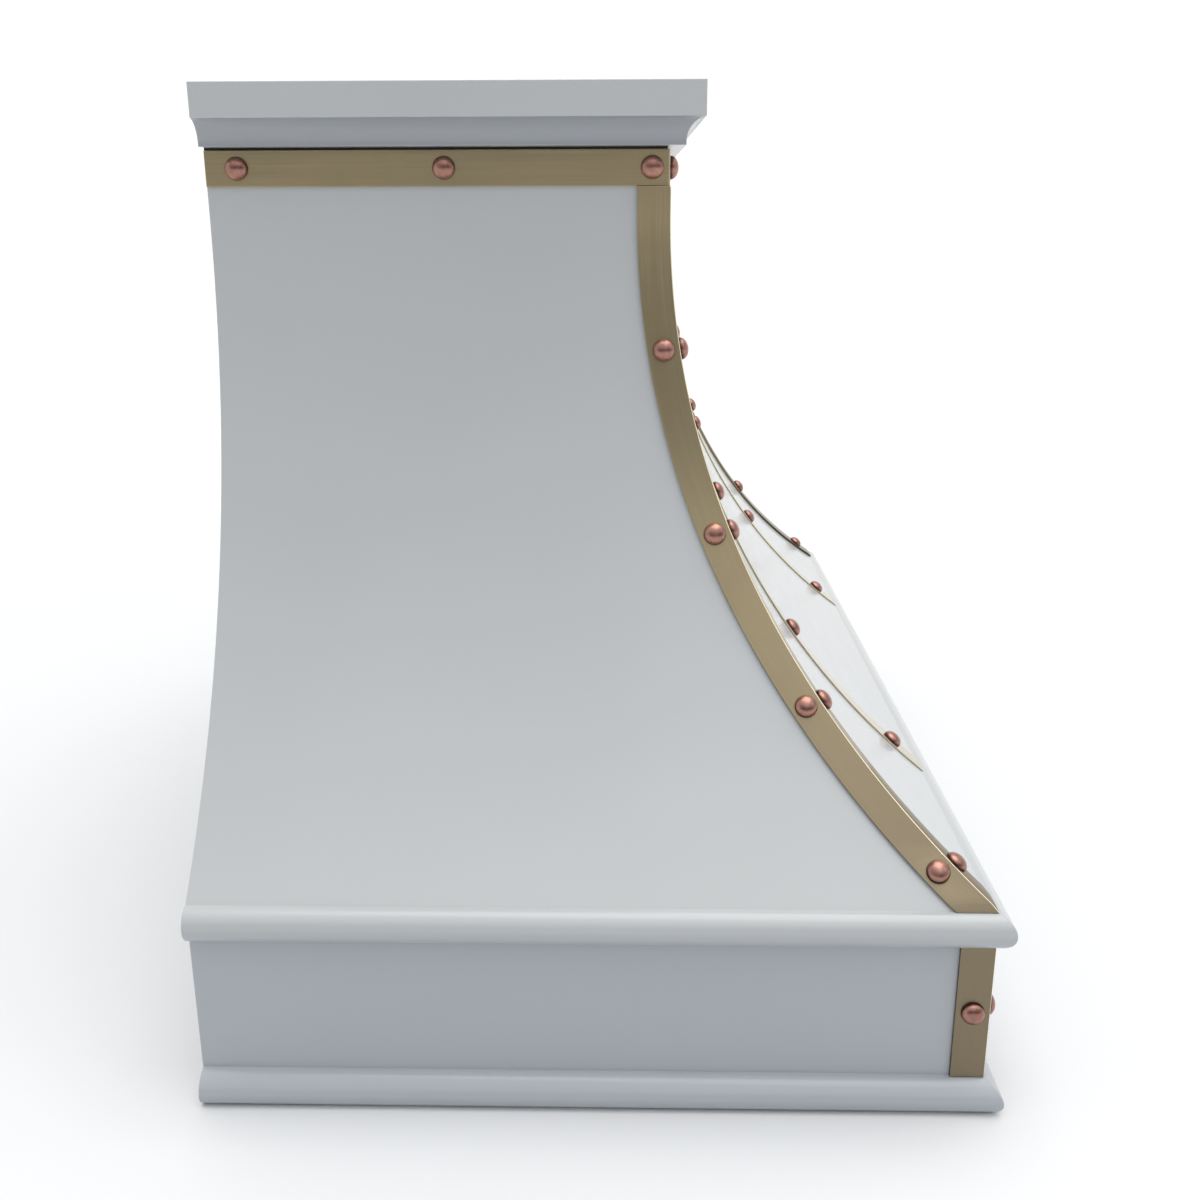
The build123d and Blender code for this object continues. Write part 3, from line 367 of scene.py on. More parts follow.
# Satin copper with a darker brown film that gathers in patches. A near-black painted shadow rings the foot of
# each dome.
def copperMaterial():
    material, graph, place = startMaterial("satinCopper")
    filmAndShade = graph.noise(place, copperValues["filmScale"], 4.0, 0.6)
    speck = graph.noise(place, copperValues["speckScale"], 2.0)
    rise = graph.node("ShaderNodeAttribute", {"attribute_name": "rise"}, out="Fac")
    colour = graph.mixColour((filmAndShade * 2.0 - 0.55).clamp(), copperValues["dark"], copperValues["light"])
    # painted shadow: the lowest part of each dome turns near-black
    colour = graph.mixColour((rise * -3.2 + 1.15).clamp(), colour, copperValues["foot"])
    endMaterial(
        graph,
        {
            "Base Color": colour,
            "Metallic": 1.0,
            "Roughness": copperValues["roughness"] + (filmAndShade - 0.5) * 0.2 + (speck - 0.5) * 0.12,
            "Normal": graph.bump(speck, 0.4, copperValues["speckDepth"]),
        },
    )
    return material


steelValues = {
    "grainAcross": 1900.0,
    "grainAlong": 6.0,
    "grainDepth": 0.00002,
    "smudgeScale": 7.0,
    "darker": 0.72,
}


# Brushed stainless steel, its grain along one axis of the object: 0, 1 or 2 for x, y or z
def steelMaterial(name, colour, along, roughness):
    material, graph, place = startMaterial(name)
    grain = [steelValues["grainAcross"]] * 3
    grain[along] = steelValues["grainAlong"]
    fine = graph.noise(graph.stretch(place, grain), 1.0, 3.0)
    smudge = graph.noise(place, steelValues["smudgeScale"], 3.0)
    dark = tinted(colour, steelValues["darker"])
    endMaterial(
        graph,
        {
            "Base Color": graph.mixColour((fine * 2.0 - 0.5).clamp(), dark, colour),
            "Metallic": 1.0,
            "Roughness": roughness + (fine - 0.5) * 0.2 + (smudge - 0.5) * 0.12,
            "Normal": graph.bump(fine, 0.4, steelValues["grainDepth"]),
        },
    )
    return material


zincValues = {
    "dark": (0.36, 0.38, 0.40, 1.0),
    "light": (0.58, 0.60, 0.62, 1.0),
    "dust": (0.44, 0.43, 0.41, 1.0),
    "metallic": 0.9,
    "roughness": 0.36,
    "spangleScale": 75.0,
    "spangleDepth": 0.00003,
    "streakStretch": (40.0, 40.0, 260.0),
    "streakTurn": (0.5, 0.2, 0.7),
    "dustScale": 4.0,
}


# Zinc-coated sheet with its crystal spangle
def zincMaterial():
    material, graph, place = startMaterial("zincCoat")
    spangle = graph.node(
        "ShaderNodeTexVoronoi",
        {"feature": "F1"},
        {"Vector": place, "Scale": zincValues["spangleScale"], "Randomness": 1.0},
        out="Color",
    )
    tone = graph.node("ShaderNodeSeparateColor", {}, {"Color": spangle}, out=0)
    streaked = graph.stretch(place, zincValues["streakStretch"], zincValues["streakTurn"])
    streak = graph.noise(streaked, 1.0, 3.0)
    dust = graph.noise(place, zincValues["dustScale"], 4.0)
    mix = (tone * 0.7 + streak * 0.3).clamp()
    colour = graph.mixColour(mix, zincValues["dark"], zincValues["light"])
    colour = graph.mixColour((dust * 2.0 - 0.95).clamp(0.0, 0.4), colour, zincValues["dust"])
    endMaterial(
        graph,
        {
            "Base Color": colour,
            "Metallic": zincValues["metallic"],
            "Roughness": zincValues["roughness"] + tone * 0.2 + (dust - 0.5) * 0.15,
            "Normal": graph.bump(tone + streak * 0.4, 0.25, zincValues["spangleDepth"]),
        },
    )
    return material


grainedValues = {
    "cloudScale": 30.0,
    "lighter": 1.35,
    "lift": 0.01,
}


# A plain moulded or enamelled finish with a fine texture
def grainedMaterial(name, colour, metallic, roughness, grainScale, grainDepth):
    material, graph, place = startMaterial(name)
    grain = graph.noise(place, grainScale, 3.0)
    cloud = graph.noise(place, grainedValues["cloudScale"], 2.0)
    lighter = tinted(colour, grainedValues["lighter"], grainedValues["lift"])
    endMaterial(
        graph,
        {
            "Base Color": graph.mixColour((cloud * 1.4 - 0.2).clamp(), colour, lighter),
            "Metallic": metallic,
            "Roughness": roughness + (grain - 0.5) * 0.2,
            "Normal": graph.bump(grain, 0.5, grainDepth),
        },
    )
    return material


lensValues = {
    "clear": (0.86, 0.87, 0.85, 1.0),
    "hazy": (0.95, 0.95, 0.93, 1.0),
    "warm": (1.0, 0.94, 0.82, 1.0),
    "pale": (1.0, 0.98, 0.92, 1.0),
    "glow": 0.25,
    "transmission": 0.35,
    "roughness": 0.32,
    "prismScale": 420.0,
    "prismDepth": 0.0002,
    "hazeScale": 60.0,
}


# Frosted lamp lens with a fine prism texture
def lensMaterial():
    material, graph, place = startMaterial("frostedLens")
    prism = graph.node(
        "ShaderNodeTexVoronoi",
        {"feature": "F1"},
        {"Vector": place, "Scale": lensValues["prismScale"]},
        out="Distance",
    )
    haze = graph.noise(place, lensValues["hazeScale"], 2.0)
    endMaterial(
        graph,
        {
            "Base Color": graph.mixColour(haze, lensValues["clear"], lensValues["hazy"]),
            "Roughness": lensValues["roughness"] + haze * 0.15,
            "Transmission Weight": lensValues["transmission"],
            "Emission Color": graph.mixColour(prism.clamp(), lensValues["warm"], lensValues["pale"]),
            "Emission Strength": lensValues["glow"],
            "Normal": graph.bump(prism, 0.4, lensValues["prismDepth"]),
        },
    )
    return material


white = paintMaterial()
# the second value is the most painted shade that each brass takes towards the cooktop
brass = brassMaterial("brushedBrass", filmAndShade=0.75, lacquer=0.0)
brightBrass = brassMaterial("lacquerBrass", filmAndShade=0.35, lacquer=0.7)
copper = copperMaterial()
filterSteel = steelMaterial("filterSteel", (0.66, 0.66, 0.65, 1.0), 1, 0.28)
brightSteel = steelMaterial("brightSteel", (0.66, 0.66, 0.66, 1.0), 0, 0.22)
slotMaterials = {
    "body_paint": white,
    "brass": brass,
    "copper": copper,
    "galvanised": zincMaterial(),
    "liner_steel": steelMaterial("linerSteel", (0.60, 0.60, 0.59, 1.0), 0, 0.34),
    "filter_steel": filterSteel,
    "bright_steel": brightSteel,
    "knob_metal": grainedMaterial("satinAluminium", (0.55, 0.55, 0.56, 1.0), 1.0, 0.32, 900.0, 0.00002),
    "black_plastic": grainedMaterial("blackPlastic", (0.022, 0.022, 0.024, 1.0), 0.0, 0.46, 1100.0, 0.00004),
    "black_rubber": grainedMaterial("blackRubber", (0.016, 0.016, 0.016, 1.0), 0.0, 0.72, 800.0, 0.00006),
    "motor_paint": grainedMaterial("motorEnamel", (0.05, 0.055, 0.06, 1.0), 0.0, 0.40, 500.0, 0.00004),
    "lens": lensMaterial(),
}
print("surfaces made")

nodeSlots = {part["node"]: part["material_slot"] for part in frame["record"]["subparts"]}
for nodeName, carried in frame["nodes"].items():
    carried.data.materials.clear()
    carried.data.materials.append(slotMaterials[nodeSlots[nodeName]])
    for polygon in carried.data.polygons:
        polygon.material_index = 0


# Mesh pieces


meshValues = {
    "sharpTurn": 32.0,
    "weld": 1e-6,
    "bevelSegments": 2,
}


# Puts a mesh, a light or a camera in the scene
def addObject(name, data):
    made = bpy.data.objects.new(name, data)
    scene.collection.objects.link(made)
    return made


# Marks edges that turn sharply, so that the rest of a piece shades as one smooth surface
def shadeByAngle(mesh, degrees=meshValues["sharpTurn"]):
    work = bmesh.new()
    work.from_mesh(mesh)
    bmesh.ops.remove_doubles(work, verts=work.verts, dist=meshValues["weld"])
    bmesh.ops.recalc_face_normals(work, faces=work.faces)
    limit = math.radians(degrees)
    for face in work.faces:
        face.smooth = True
    for edge in work.edges:
        edge.smooth = len(edge.link_faces) == 2 and edge.calc_face_angle(0.0) < limit
    work.to_mesh(mesh)
    work.free()


# Turns an object with modifiers into a plain mesh with the same name
def settle(piece):
    graph = bpy.context.evaluated_depsgraph_get()
    mesh = bpy.data.meshes.new_from_object(piece.evaluated_get(graph), depsgraph=graph)
    old = piece.data
    piece.modifiers.clear()
    piece.data = mesh
    bpy.data.meshes.remove(old)


# Gives a finished piece its body and its finish, and hides the CAD nodes that it stands for
def fitPiece(piece, material, body, nodes):
    slots = {nodeSlots[name] for name in nodes}
    if not piece.data.materials:
        piece.data.materials.append(material)
    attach(piece, body)
    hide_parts(*nodes)
    slots.pop()


# A closed skin over rings of equal length, with a UV that runs along and round in metres. An optional
# mark for some sides of the ring gives the brass shader's painted highlight (above 0) and painted shade
# (below 0).
def loft(name, rings, lengths, edgeRound, highlightAndShade=None):
    count = len(rings[0])
    vertices = [point for ring in rings for point in ring]
    faces = []
    uvs = []
    girth = [0.0]
    for index in range(count):
        step = (Vector(rings[0][(index + 1) % count]) - Vector(rings[0][index])).length
        girth.append(girth[-1] + step)
    for row in range(len(rings) - 1):
        for index in range(count):
            nextIndex = (index + 1) % count
            low = row * count
            high = low + count
            faces.append((low + index, low + nextIndex, high + nextIndex, high + index))
            uvs += [
                (lengths[row], girth[index]),
                (lengths[row], girth[index + 1]),
                (lengths[row + 1], girth[index + 1]),
                (lengths[row + 1], girth[index]),
            ]
    last = (len(rings) - 1) * count
    faces.append(tuple(range(count))[::-1])
    faces.append(tuple(last + index for index in range(count)))
    uvs += [(lengths[0], girth[index]) for index in range(count)][::-1]
    uvs += [(lengths[-1], girth[index]) for index in range(count)]
    mesh = bpy.data.meshes.new(name)
    mesh.from_pydata(vertices, [], faces)
    layer = mesh.uv_layers.new(name="UVMap")
    for loop, uv in zip(layer.data, uvs):
        loop.uv = uv
    if highlightAndShade:
        marks = mesh.attributes.new("highlightAndShade", "FLOAT", "FACE")
        for index in range(len(faces) - 2):
            marks.data[index].value = highlightAndShade.get(index % count, 0.0)
    shadeByAngle(mesh)
    piece = addObject(name, mesh)
    if edgeRound:
        addBevel(piece, edgeRound)
        settle(piece)
    return piece


def addBevel(piece, width):
    bevel = piece.modifiers.new("edgeRound", "BEVEL")
    bevel.width = width
    bevel.segments = meshValues["bevelSegments"]
    bevel.limit_method = "ANGLE"
    bevel.angle_limit = math.radians(meshValues["sharpTurn"])
    bevel.harden_normals = False


# Running length along one corner of a row of rings
def runLengths(rings, corner):
    lengths = [0.0]
    for one, two in zip(rings, rings[1:]):
        lengths.append(lengths[-1] + (Vector(two[corner]) - Vector(one[corner])).length)
    return lengths


# A section given as (outward, up) points, carried round the left side, the front and the right
# side and mitred at the two front corners
def wrapRound(name, section, halfWidth, frontDepth, low):
    stations = [(-1, 0.0, False), (-1, frontDepth, True), (1, frontDepth, True), (1, 0.0, False)]
    rings = []
    for side, depth, corner in stations:
        ring = []
        for out, up in section:
            ring.append((side * (halfWidth + out), yAt(depth + (out if corner else 0.0)), low + up))
        rings.append(ring)
    return loft(name, rings, runLengths(rings, 0), mouldingValues["edgeRound"])


def arcBetween(centre, radius, first, last, steps):
    points = []
    for step in range(steps + 1):
        turn = first + (last - first) * step / steps
        points.append((centre[0] + radius * math.cos(turn), centre[1] + radius * math.sin(turn)))
    return points


# The arc that leaves a point in a given direction and ends at another point
def tangentArc(start, direction, end, steps):
    chord = (end[0] - start[0], end[1] - start[1])
    normal = (-direction[1], direction[0])
    across = chord[0] * normal[0] + chord[1] * normal[1]
    radius = (chord[0] ** 2 + chord[1] ** 2) / (2 * across)
    centre = (start[0] + normal[0] * radius, start[1] + normal[1] * radius)
    first = math.atan2(start[1] - centre[1], start[0] - centre[0])
    last = math.atan2(end[1] - centre[1], end[0] - centre[0])
    sweep = (last - first) % (2 * math.pi)
    if radius < 0:
        sweep -= 2 * math.pi
    return arcBetween(centre, abs(radius), first, first + sweep, steps)


mouldingValues = {
    "footNose": 0.011,
    "noseTurn": 35.0,
    "crownLip": 0.0139,
    "crownLipHeight": 0.003,
    "tuck": 0.001,
    "noseSteps": 16,
    "slopeSteps": 12,
    "edgeRound": 0.0006,
}


# Sections of the belt, the foot and the crown, as (outward, up) points. The inner edge of the belt
# and the foot lies inside the sheet behind, so that no groove shows.
def halfRound(height, projection):
    radius = (height ** 2 / 4 + projection ** 2) / (2 * projection)
    centre = (projection - radius, height / 2)
    turn = math.atan2(height / 2, radius - projection)
    arc = arcBetween(centre, radius, -turn, turn, 2 * mouldingValues["noseSteps"])
    return [(-mouldingValues["tuck"], 0.0)] + arc + [(-mouldingValues["tuck"], height)]


def bullnose(height, projection):
    nose = mouldingValues["footNose"]
    tuck = mouldingValues["tuck"]
    turn = math.radians(mouldingValues["noseTurn"])
    centre = (projection - nose, nose)
    noseArc = arcBetween(centre, nose, -math.pi / 2, turn, mouldingValues["noseSteps"])
    along = (-math.sin(turn), math.cos(turn))
    slope = tangentArc(noseArc[-1], along, (0.0, height), mouldingValues["slopeSteps"])
    return [(0.0, 0.0)] + noseArc + slope[1:] + [(-tuck, height), (-tuck, 0.0)]


def crownSection(height, projection):
    lip = mouldingValues["crownLip"]
    lipTop = mouldingValues["crownLipHeight"]
    fasciaLow = height - bodyValues["crownFascia"]
    cove = tangentArc((lip, lipTop), (0.0, 1.0), (projection, fasciaLow), mouldingValues["slopeSteps"])
    return [(0.0, 0.0), (lip, 0.0)] + cove + [(projection, height), (0.0, height)]


def buildMouldings():
    runs = [
        ("foot", footLow, footHigh, bullnose, apronHalf, apronFront),
        ("belt", beltLow, beltHigh, halfRound, apronHalf, apronFront),
        ("crown", crownLow, crownHigh, crownSection, neckHalf, neckFront),
    ]
    for name, low, high, shape, half, depth in runs:
        section = shape(high.z - low.z, high.x - half)
        piece = wrapRound(name + "Moulding", section, half, depth, low.z)
        fitPiece(piece, white, "hood", [name + "_moulding"])


# Geometry Nodes


# A new node tree with a Geometry in and out, and an input for each value of a dictionary
def startTree(name, values):
    tree = bpy.data.node_groups.new(name, "GeometryNodeTree")
    tree.interface.new_socket("Geometry", in_out="INPUT", socket_type="NodeSocketGeometry")
    tree.interface.new_socket("Geometry", in_out="OUTPUT", socket_type="NodeSocketGeometry")
    for key, value in values.items():
        kind = "NodeSocketInt" if isinstance(value, int) else "NodeSocketFloat"
        socket = tree.interface.new_socket(key, in_out="INPUT", socket_type=kind)
        socket.default_value = value
    graph = Graph(tree)
    source = tree.nodes.new("NodeGroupInput")
    wires = {socket.name: Wire(graph, socket) for socket in source.outputs if socket.name}
    return tree, graph, wires


def endTree(graph, geometry, material):
    real = graph.node("GeometryNodeRealizeInstances", {}, {"Geometry": geometry})
    coloured = graph.node("GeometryNodeSetMaterial", {}, {"Geometry": real, "Material": material})
    output = graph.tree.nodes.new("NodeGroupOutput")
    graph.tree.links.new(coloured.socket, output.inputs[0])


# Runs a tree on a mesh and leaves the result as a plain mesh
def runTree(name, mesh, tree, values):
    piece = addObject(name, mesh)
    modifier = piece.modifiers.new("nodes", "NODES")
    modifier.node_group = tree
    identifiers = {
        item.name: item.identifier
        for item in tree.interface.items_tree
        if item.item_type == "SOCKET" and item.in_out == "INPUT"
    }
    for key, value in values.items():
        modifier[identifiers[key]] = value
    settle(piece)
    return piece


def emptyMesh(name):
    mesh = bpy.data.meshes.new(name)
    mesh.from_pydata([(0, 0, 0)], [], [])
    return mesh


# The bell panel: a grid bent so that its reach follows one bell curve and its two edges follow
# the other, then given its sheet thickness. One row of the grid lies on the foot of the curve and
# the lowest row stands straight below it, behind the belt.
def bellPanelTree(values):
    tree, graph, wire = startTree("bellPanel", values)
    counts = {"Vertices X": wire["Across Steps"], "Vertices Y": wire["Height Steps"]}
    grid = graph.node("GeometryNodeMeshGrid", {}, {"Size X": 1.0, "Size Y": 1.0, **counts})
    spot = graph.node("GeometryNodeInputPosition")
    across = graph.axis(spot, 0) + 0.5
    upward = graph.axis(spot, 1) + 0.5
    row = (wire["Height Steps"] - 1.0) ** -1.0
    rise = ((upward - row) / (1.0 - row)).math("MAXIMUM", 0.0)
    lowest = upward.math("LESS_THAN", row * 0.5)
    height = wire["Arc Base"] + (wire["High"] - wire["Arc Base"]) * rise
    height = height - (wire["Arc Base"] - wire["Low"]) * lowest
    drop = (wire["Arc Top"] - height).math("MAXIMUM", 0.0)

    def curve(neck, radius, base):
        level = (radius ** 2.0 - drop ** 2.0).math("MAXIMUM", 0.0).math("SQRT")
        return (neck + radius - level).math("MINIMUM", base)

    outward = curve(wire["Neck Reach"], wire["Arc Radius"], wire["Base Reach"])
    edge = curve(wire["Edge Neck"], wire["Edge Radius"], wire["Edge Base"])
    first = edge * wire["Edge Start"]
    sideways = first + (edge - first) * across
    bent = graph.node("ShaderNodeCombineXYZ", {}, {0: sideways, 1: outward * -1.0, 2: height})
    sheet = graph.node("GeometryNodeSetPosition", {}, {"Geometry": grid, "Position": bent})
    thick = graph.node(
        "GeometryNodeExtrudeMesh",
        {"mode": "FACES"},
        {"Mesh": sheet, "Offset Scale": wire["Sheet"] * -1.0, "Individual": False},
    )
    back = graph.node("GeometryNodeFlipFaces", {}, {"Mesh": sheet})
    shell = {"Geometry": graph.join(back, thick), "Distance": meshValues["weld"]}
    endTree(graph, graph.node("GeometryNodeMergeByDistance", {}, shell), white)
    return tree


def buildPanels():
    shared = {
        "Arc Top": arcTop,
        "Arc Base": beltTop,
        "Low": jointZ,
        "High": crownHigh.z - bodyValues["panelTopGap"],
        "Sheet": bodyValues["sheet"],
        "Across Steps": bodyValues["acrossSteps"],
        "Height Steps": bodyValues["heightSteps"],
    }
    front = {
        **shared,
        "Neck Reach": neckFront,
        "Arc Radius": frontRadius,
        "Base Reach": apronFront,
        "Edge Neck": neckHalf - bodyValues["sheet"],
        "Edge Radius": sideRadius,
        "Edge Base": apronHalf - bodyValues["sheet"],
        "Edge Start": -1.0,
    }
    tree = bellPanelTree(front)
    piece = runTree("frontPanel", emptyMesh("frontPanel"), tree, front)
    moveMesh(piece, lambda point: Vector((point.x, point.y + wallY, point.z)))
    shadeByAngle(piece.data)
    fitPiece(piece, white, "hood", ["front_panel"])
    side = {
        **shared,
        "Neck Reach": neckHalf,
        "Arc Radius": sideRadius,
        "Base Reach": apronHalf,
        "Edge Neck": neckFront,
        "Edge Radius": frontRadius,
        "Edge Base": apronFront,
        "Edge Start": 0.0,
    }
    for name, sign in (("left", -1), ("right", 1)):
        piece = runTree(name + "SidePanel", emptyMesh(name + "SidePanel"), tree, side)
        moveMesh(piece, lambda point: Vector((-sign * point.y, wallY - point.x, point.z)))
        shadeByAngle(piece.data)
        fitPiece(piece, white, "hood", [name + "_side_panel"])


def moveMesh(piece, rule):
    for vertex in piece.data.vertices:
        vertex.co = rule(vertex.co)
    piece.data.update()


# Brass


strapValues = {
    "bandThickness": 0.0021,
    "bandBend": 0.0025,
    "bendSteps": 8,
    "thickness": 0.003,
    "frontThickness": 0.0016,
    "topX": 0.146,
    "baseX": 0.259,
    "steps": 90,
    "edgeRound": 0.0005,
    "topChamfer": 0.0012,
    "cornerEase": 0.0006,
    "apronEase": 0.0004,
}
strapWidth = stripHigh.x - stripLow.x

# Painted highlight (above 0) and painted shade (below 0) for some sides of a strap's section, counted
# round it: a highlight on a corner strap's outer corner and shade on its side leaf's back edge, shade on
# the apron front strips' edges, and highlights on the front straps' face and edges
cornerHighlightShade = {1: 1.0, 6: -1.0}
flatEdgeShade = {1: -0.4, 3: -0.4}
frontStrapHighlight = {0: 0.28, 1: 0.5, 3: 0.5}


# A corner strap is one strip wide along the slope, so each leaf narrows, seen square on, towards
# the belt. Its inner edge is an arc of its own: this gives the arc's neck, radius and flare.
def leafCurve(neck, radius, otherRadius):
    outset = strapValues["thickness"]
    edgeTurn = math.asin(arcHeight / radius)
    faceTurn = math.asin(arcHeight / otherRadius)
    lean = math.sin(edgeTurn) * math.tan(faceTurn)
    run = strapWidth / (math.cos(edgeTurn) * math.sqrt(1 + lean ** 2))
    tip = neck + radius - math.sqrt((radius - outset) ** 2 - arcHeight ** 2)
    leafNeck = neck + outset - strapWidth
    leafFlare = tip - run - leafNeck
    return leafNeck, arcRadius(leafFlare), leafFlare


sideLeaf = leafCurve(neckFront, frontRadius, sideRadius)
frontLeaf = leafCurve(neckHalf, sideRadius, frontRadius)


def leafEdge(leaf, z):
    return reach(leaf[0], leaf[1], leaf[2], 0.0, z)


# An L at one height, for the left side (-1) or the right side (1), from the (x, depth) of its outer
# corner, of its two ends and of the body's corner
def angleRing(side, z, outer, ends, body, trim):
    outX, outDepth = outer
    endX, endDepth = ends
    bodyX, bodyDepth = body
    ring = [
        (outX, endDepth),
        (outX, outDepth - trim),
        (outX - trim, outDepth),
        (endX, outDepth),
        (endX, bodyDepth),
        (bodyX, bodyDepth),
        (bodyX, endDepth),
    ]
    return [(side * x, yAt(depth), z) for x, depth in ring]


def cornerRing(side, z, trim):
    outset = strapValues["thickness"]
    outer = (sideReach(-outset, z), frontReach(-outset, z))
    ends = (leafEdge(frontLeaf, z), leafEdge(sideLeaf, z))
    body = (sideReach(0.0, z), frontReach(0.0, z))
    return angleRing(side, z, outer, ends, body, trim)


# A flat strip's section at one height, between two x, with its face and its bed at two depths
def stripRing(first, second, faceDepth, bedDepth, z):
    face = yAt(faceDepth)
    bed = yAt(bedDepth)
    return [(first, face, z), (second, face, z), (second, bed, z), (first, bed, z)]


def heightsBetween(high, low, steps):
    return [high + (low - high) * step / steps for step in range(steps + 1)]


def buildCornerStraps():
    chamfer = strapValues["topChamfer"]
    levels = [bandLow.z, bandLow.z - 2 * chamfer] + heightsBetween(arcTop, beltTop, strapValues["steps"])
    trims = [chamfer] + [strapValues["cornerEase"]] * (len(levels) - 1)
    lengths = [frontLength(z) for z in levels]
    for name, side in (("left", -1), ("right", 1)):
        rings = [cornerRing(side, z, trim) for z, trim in zip(levels, trims)]
        piece = loft(name + "CornerStrap", rings, lengths, strapValues["edgeRound"], cornerHighlightShade)
        fitPiece(piece, brass, "hood", [name + "_corner_strap"])


def strapMiddle(z):
    share = frontLength(z) / frontLength(beltTop)
    return strapValues["topX"] + (strapValues["baseX"] - strapValues["topX"]) * share


def buildFrontStraps():
    lean = (strapValues["baseX"] - strapValues["topX"]) / frontLength(beltTop)
    half = strapWidth / 2 * math.sqrt(1 + lean ** 2)
    levels = [bandLow.z] + heightsBetween(arcTop, beltTop, strapValues["steps"])
    lengths = [frontLength(z) for z in levels]
    for name, side in (("left", -1), ("right", 1)):
        rings = []
        for z in levels:
            inner = side * (strapMiddle(z) - half)
            outer = side * (strapMiddle(z) + half)
            face = frontReach(-strapValues["frontThickness"], z)
            rings.append(stripRing(inner, outer, face, frontReach(0.0, z), z))
        piece = loft(name + "FrontStrap", rings, lengths, strapValues["edgeRound"], frontStrapHighlight)
        fitPiece(piece, brightBrass, "hood", [name + "_front_strap"])


# The band is bent round the two front corners with a small outside radius
def buildNeckBand():
    thickness = strapValues["bandThickness"]
    bend = strapValues["bandBend"]
    outX = neckHalf + thickness
    outDepth = neckFront + thickness
    stations = [((outX, 0.0), (neckHalf, 0.0))]
    for step in range(strapValues["bendSteps"] + 1):
        turn = math.pi / 2 * step / strapValues["bendSteps"]
        corner = (outX - bend + bend * math.cos(turn), outDepth - bend + bend * math.sin(turn))
        stations.append((corner, (neckHalf, neckFront)))
    path = [(-1, station) for station in stations] + [(1, station) for station in reversed(stations)]
    rings = []
    for side, (outer, inner) in path:
        rings.append([
            (side * inner[0], yAt(inner[1]), bandLow.z),
            (side * outer[0], yAt(outer[1]), bandLow.z),
            (side * outer[0], yAt(outer[1]), bandHigh.z),
            (side * inner[0], yAt(inner[1]), bandHigh.z),
        ])
    piece = loft("neckBand", rings, runLengths(rings, 1), strapValues["edgeRound"])
    fitPiece(piece, brass, "hood", ["neck_band"])


def buildApronStraps():
    outset = strapValues["thickness"]
    ease = strapValues["apronEase"]
    edge = strapValues["edgeRound"]
    levels = (stripHigh.z, stripLow.z)
    lengths = [0.0, stripHigh.z - stripLow.z]
    inner = strapWidth - outset
    outer = (apronHalf + outset, apronFront + outset)
    ends = (apronHalf - inner, apronFront - inner)
    body = (apronHalf, apronFront)
    for name, side in (("left", -1), ("right", 1)):
        rings = [angleRing(side, z, outer, ends, body, ease) for z in levels]
        piece = loft(name + "ApronStrap", rings, lengths, edge, cornerHighlightShade)
        fitPiece(piece, brass, "hood", [name + "_apron_strap"])
    face = apronFront + strapValues["frontThickness"]
    strips = []
    for side in (-1, 1):
        left = side * strapValues["baseX"] - strapWidth / 2
        right = side * strapValues["baseX"] + strapWidth / 2
        rings = [stripRing(left, right, face, apronFront, z) for z in levels]
        strips.append(loft("apronFrontStrip", rings, lengths, edge, flatEdgeShade))
    piece = joinPieces("apronFrontStraps", strips)
    fitPiece(piece, brass, "hood", ["apron_front_straps"])


def joinPieces(name, pieces):
    with bpy.context.temp_override(
        active_object=pieces[0], selected_objects=pieces, selected_editable_objects=pieces
    ):
        bpy.ops.object.join()
    pieces[0].name = name
    return pieces[0]


# Rivets


rivetValues = {
    "radius": 0.009,
    "dome": 0.0062,
    "edge": 0.0007,
    "segments": 40,
    "rings": 24,
    "sharpTurn": 50.0,
    "shares": [0.2436, 0.5190, 0.7593, 0.9560],
    "bandInset": 0.014,
    "bandSideStart": 0.025,
    "bandSideCount": 3,
    "bandFrontCount": 5,
}


# Sets an item on each point of the tree's mesh, its axis along the point's "outward" attribute
def setOnPoints(graph, points, item):
    outward = graph.node(
        "GeometryNodeInputNamedAttribute", {"data_type": "FLOAT_VECTOR"}, {"Name": "outward"}
    )
    turn = graph.node("FunctionNodeAlignRotationToVector", {"axis": "Z"}, {"Vector": outward})
    return graph.node(
        "GeometryNodeInstanceOnPoints", {}, {"Points": points, "Instance": item, "Rotation": turn}
    )


# The upper half of a ball, pressed to a dome that stands on a short straight edge
def rivetTree(values):
    tree, graph, wire = startTree("domeRivets", values)
    ball = graph.node(
        "GeometryNodeMeshUVSphere", {}, {"Segments": wire["Segments"], "Rings": wire["Rings"], "Radius": 1.0}
    )
    spot = graph.node("GeometryNodeInputPosition")
    x = graph.axis(spot, 0)
    y = graph.axis(spot, 1)
    z = graph.axis(spot, 2)
    above = z.math("GREATER_THAN", -0.01)
    height = (z.math("MAXIMUM", 0.0) * wire["Dome"] + wire["Edge"]) * above
    shaped = graph.node(
        "ShaderNodeCombineXYZ", {}, {0: x * wire["Radius"], 1: y * wire["Radius"], 2: height}
    )
    marked = graph.node(
        "GeometryNodeStoreNamedAttribute", {"domain": "POINT"}, {"Geometry": ball, "Name": "rise", "Value": z}
    )
    dome = graph.node("GeometryNodeSetPosition", {}, {"Geometry": marked, "Position": shaped})
    smooth = graph.node("GeometryNodeSetShadeSmooth", {}, {"Geometry": dome, "Shade Smooth": True})
    endTree(graph, setOnPoints(graph, wire["Geometry"], smooth), copper)
    return tree


# A mesh of loose points, each with the direction in which it looks
def pointMesh(name, spots):
    mesh = bpy.data.meshes.new(name)
    mesh.from_pydata([point for point, outward in spots], [], [])
    attribute = mesh.attributes.new("outward", "FLOAT_VECTOR", "POINT")
    for item, (point, outward) in zip(attribute.data, spots):
        item.vector = outward
    return mesh


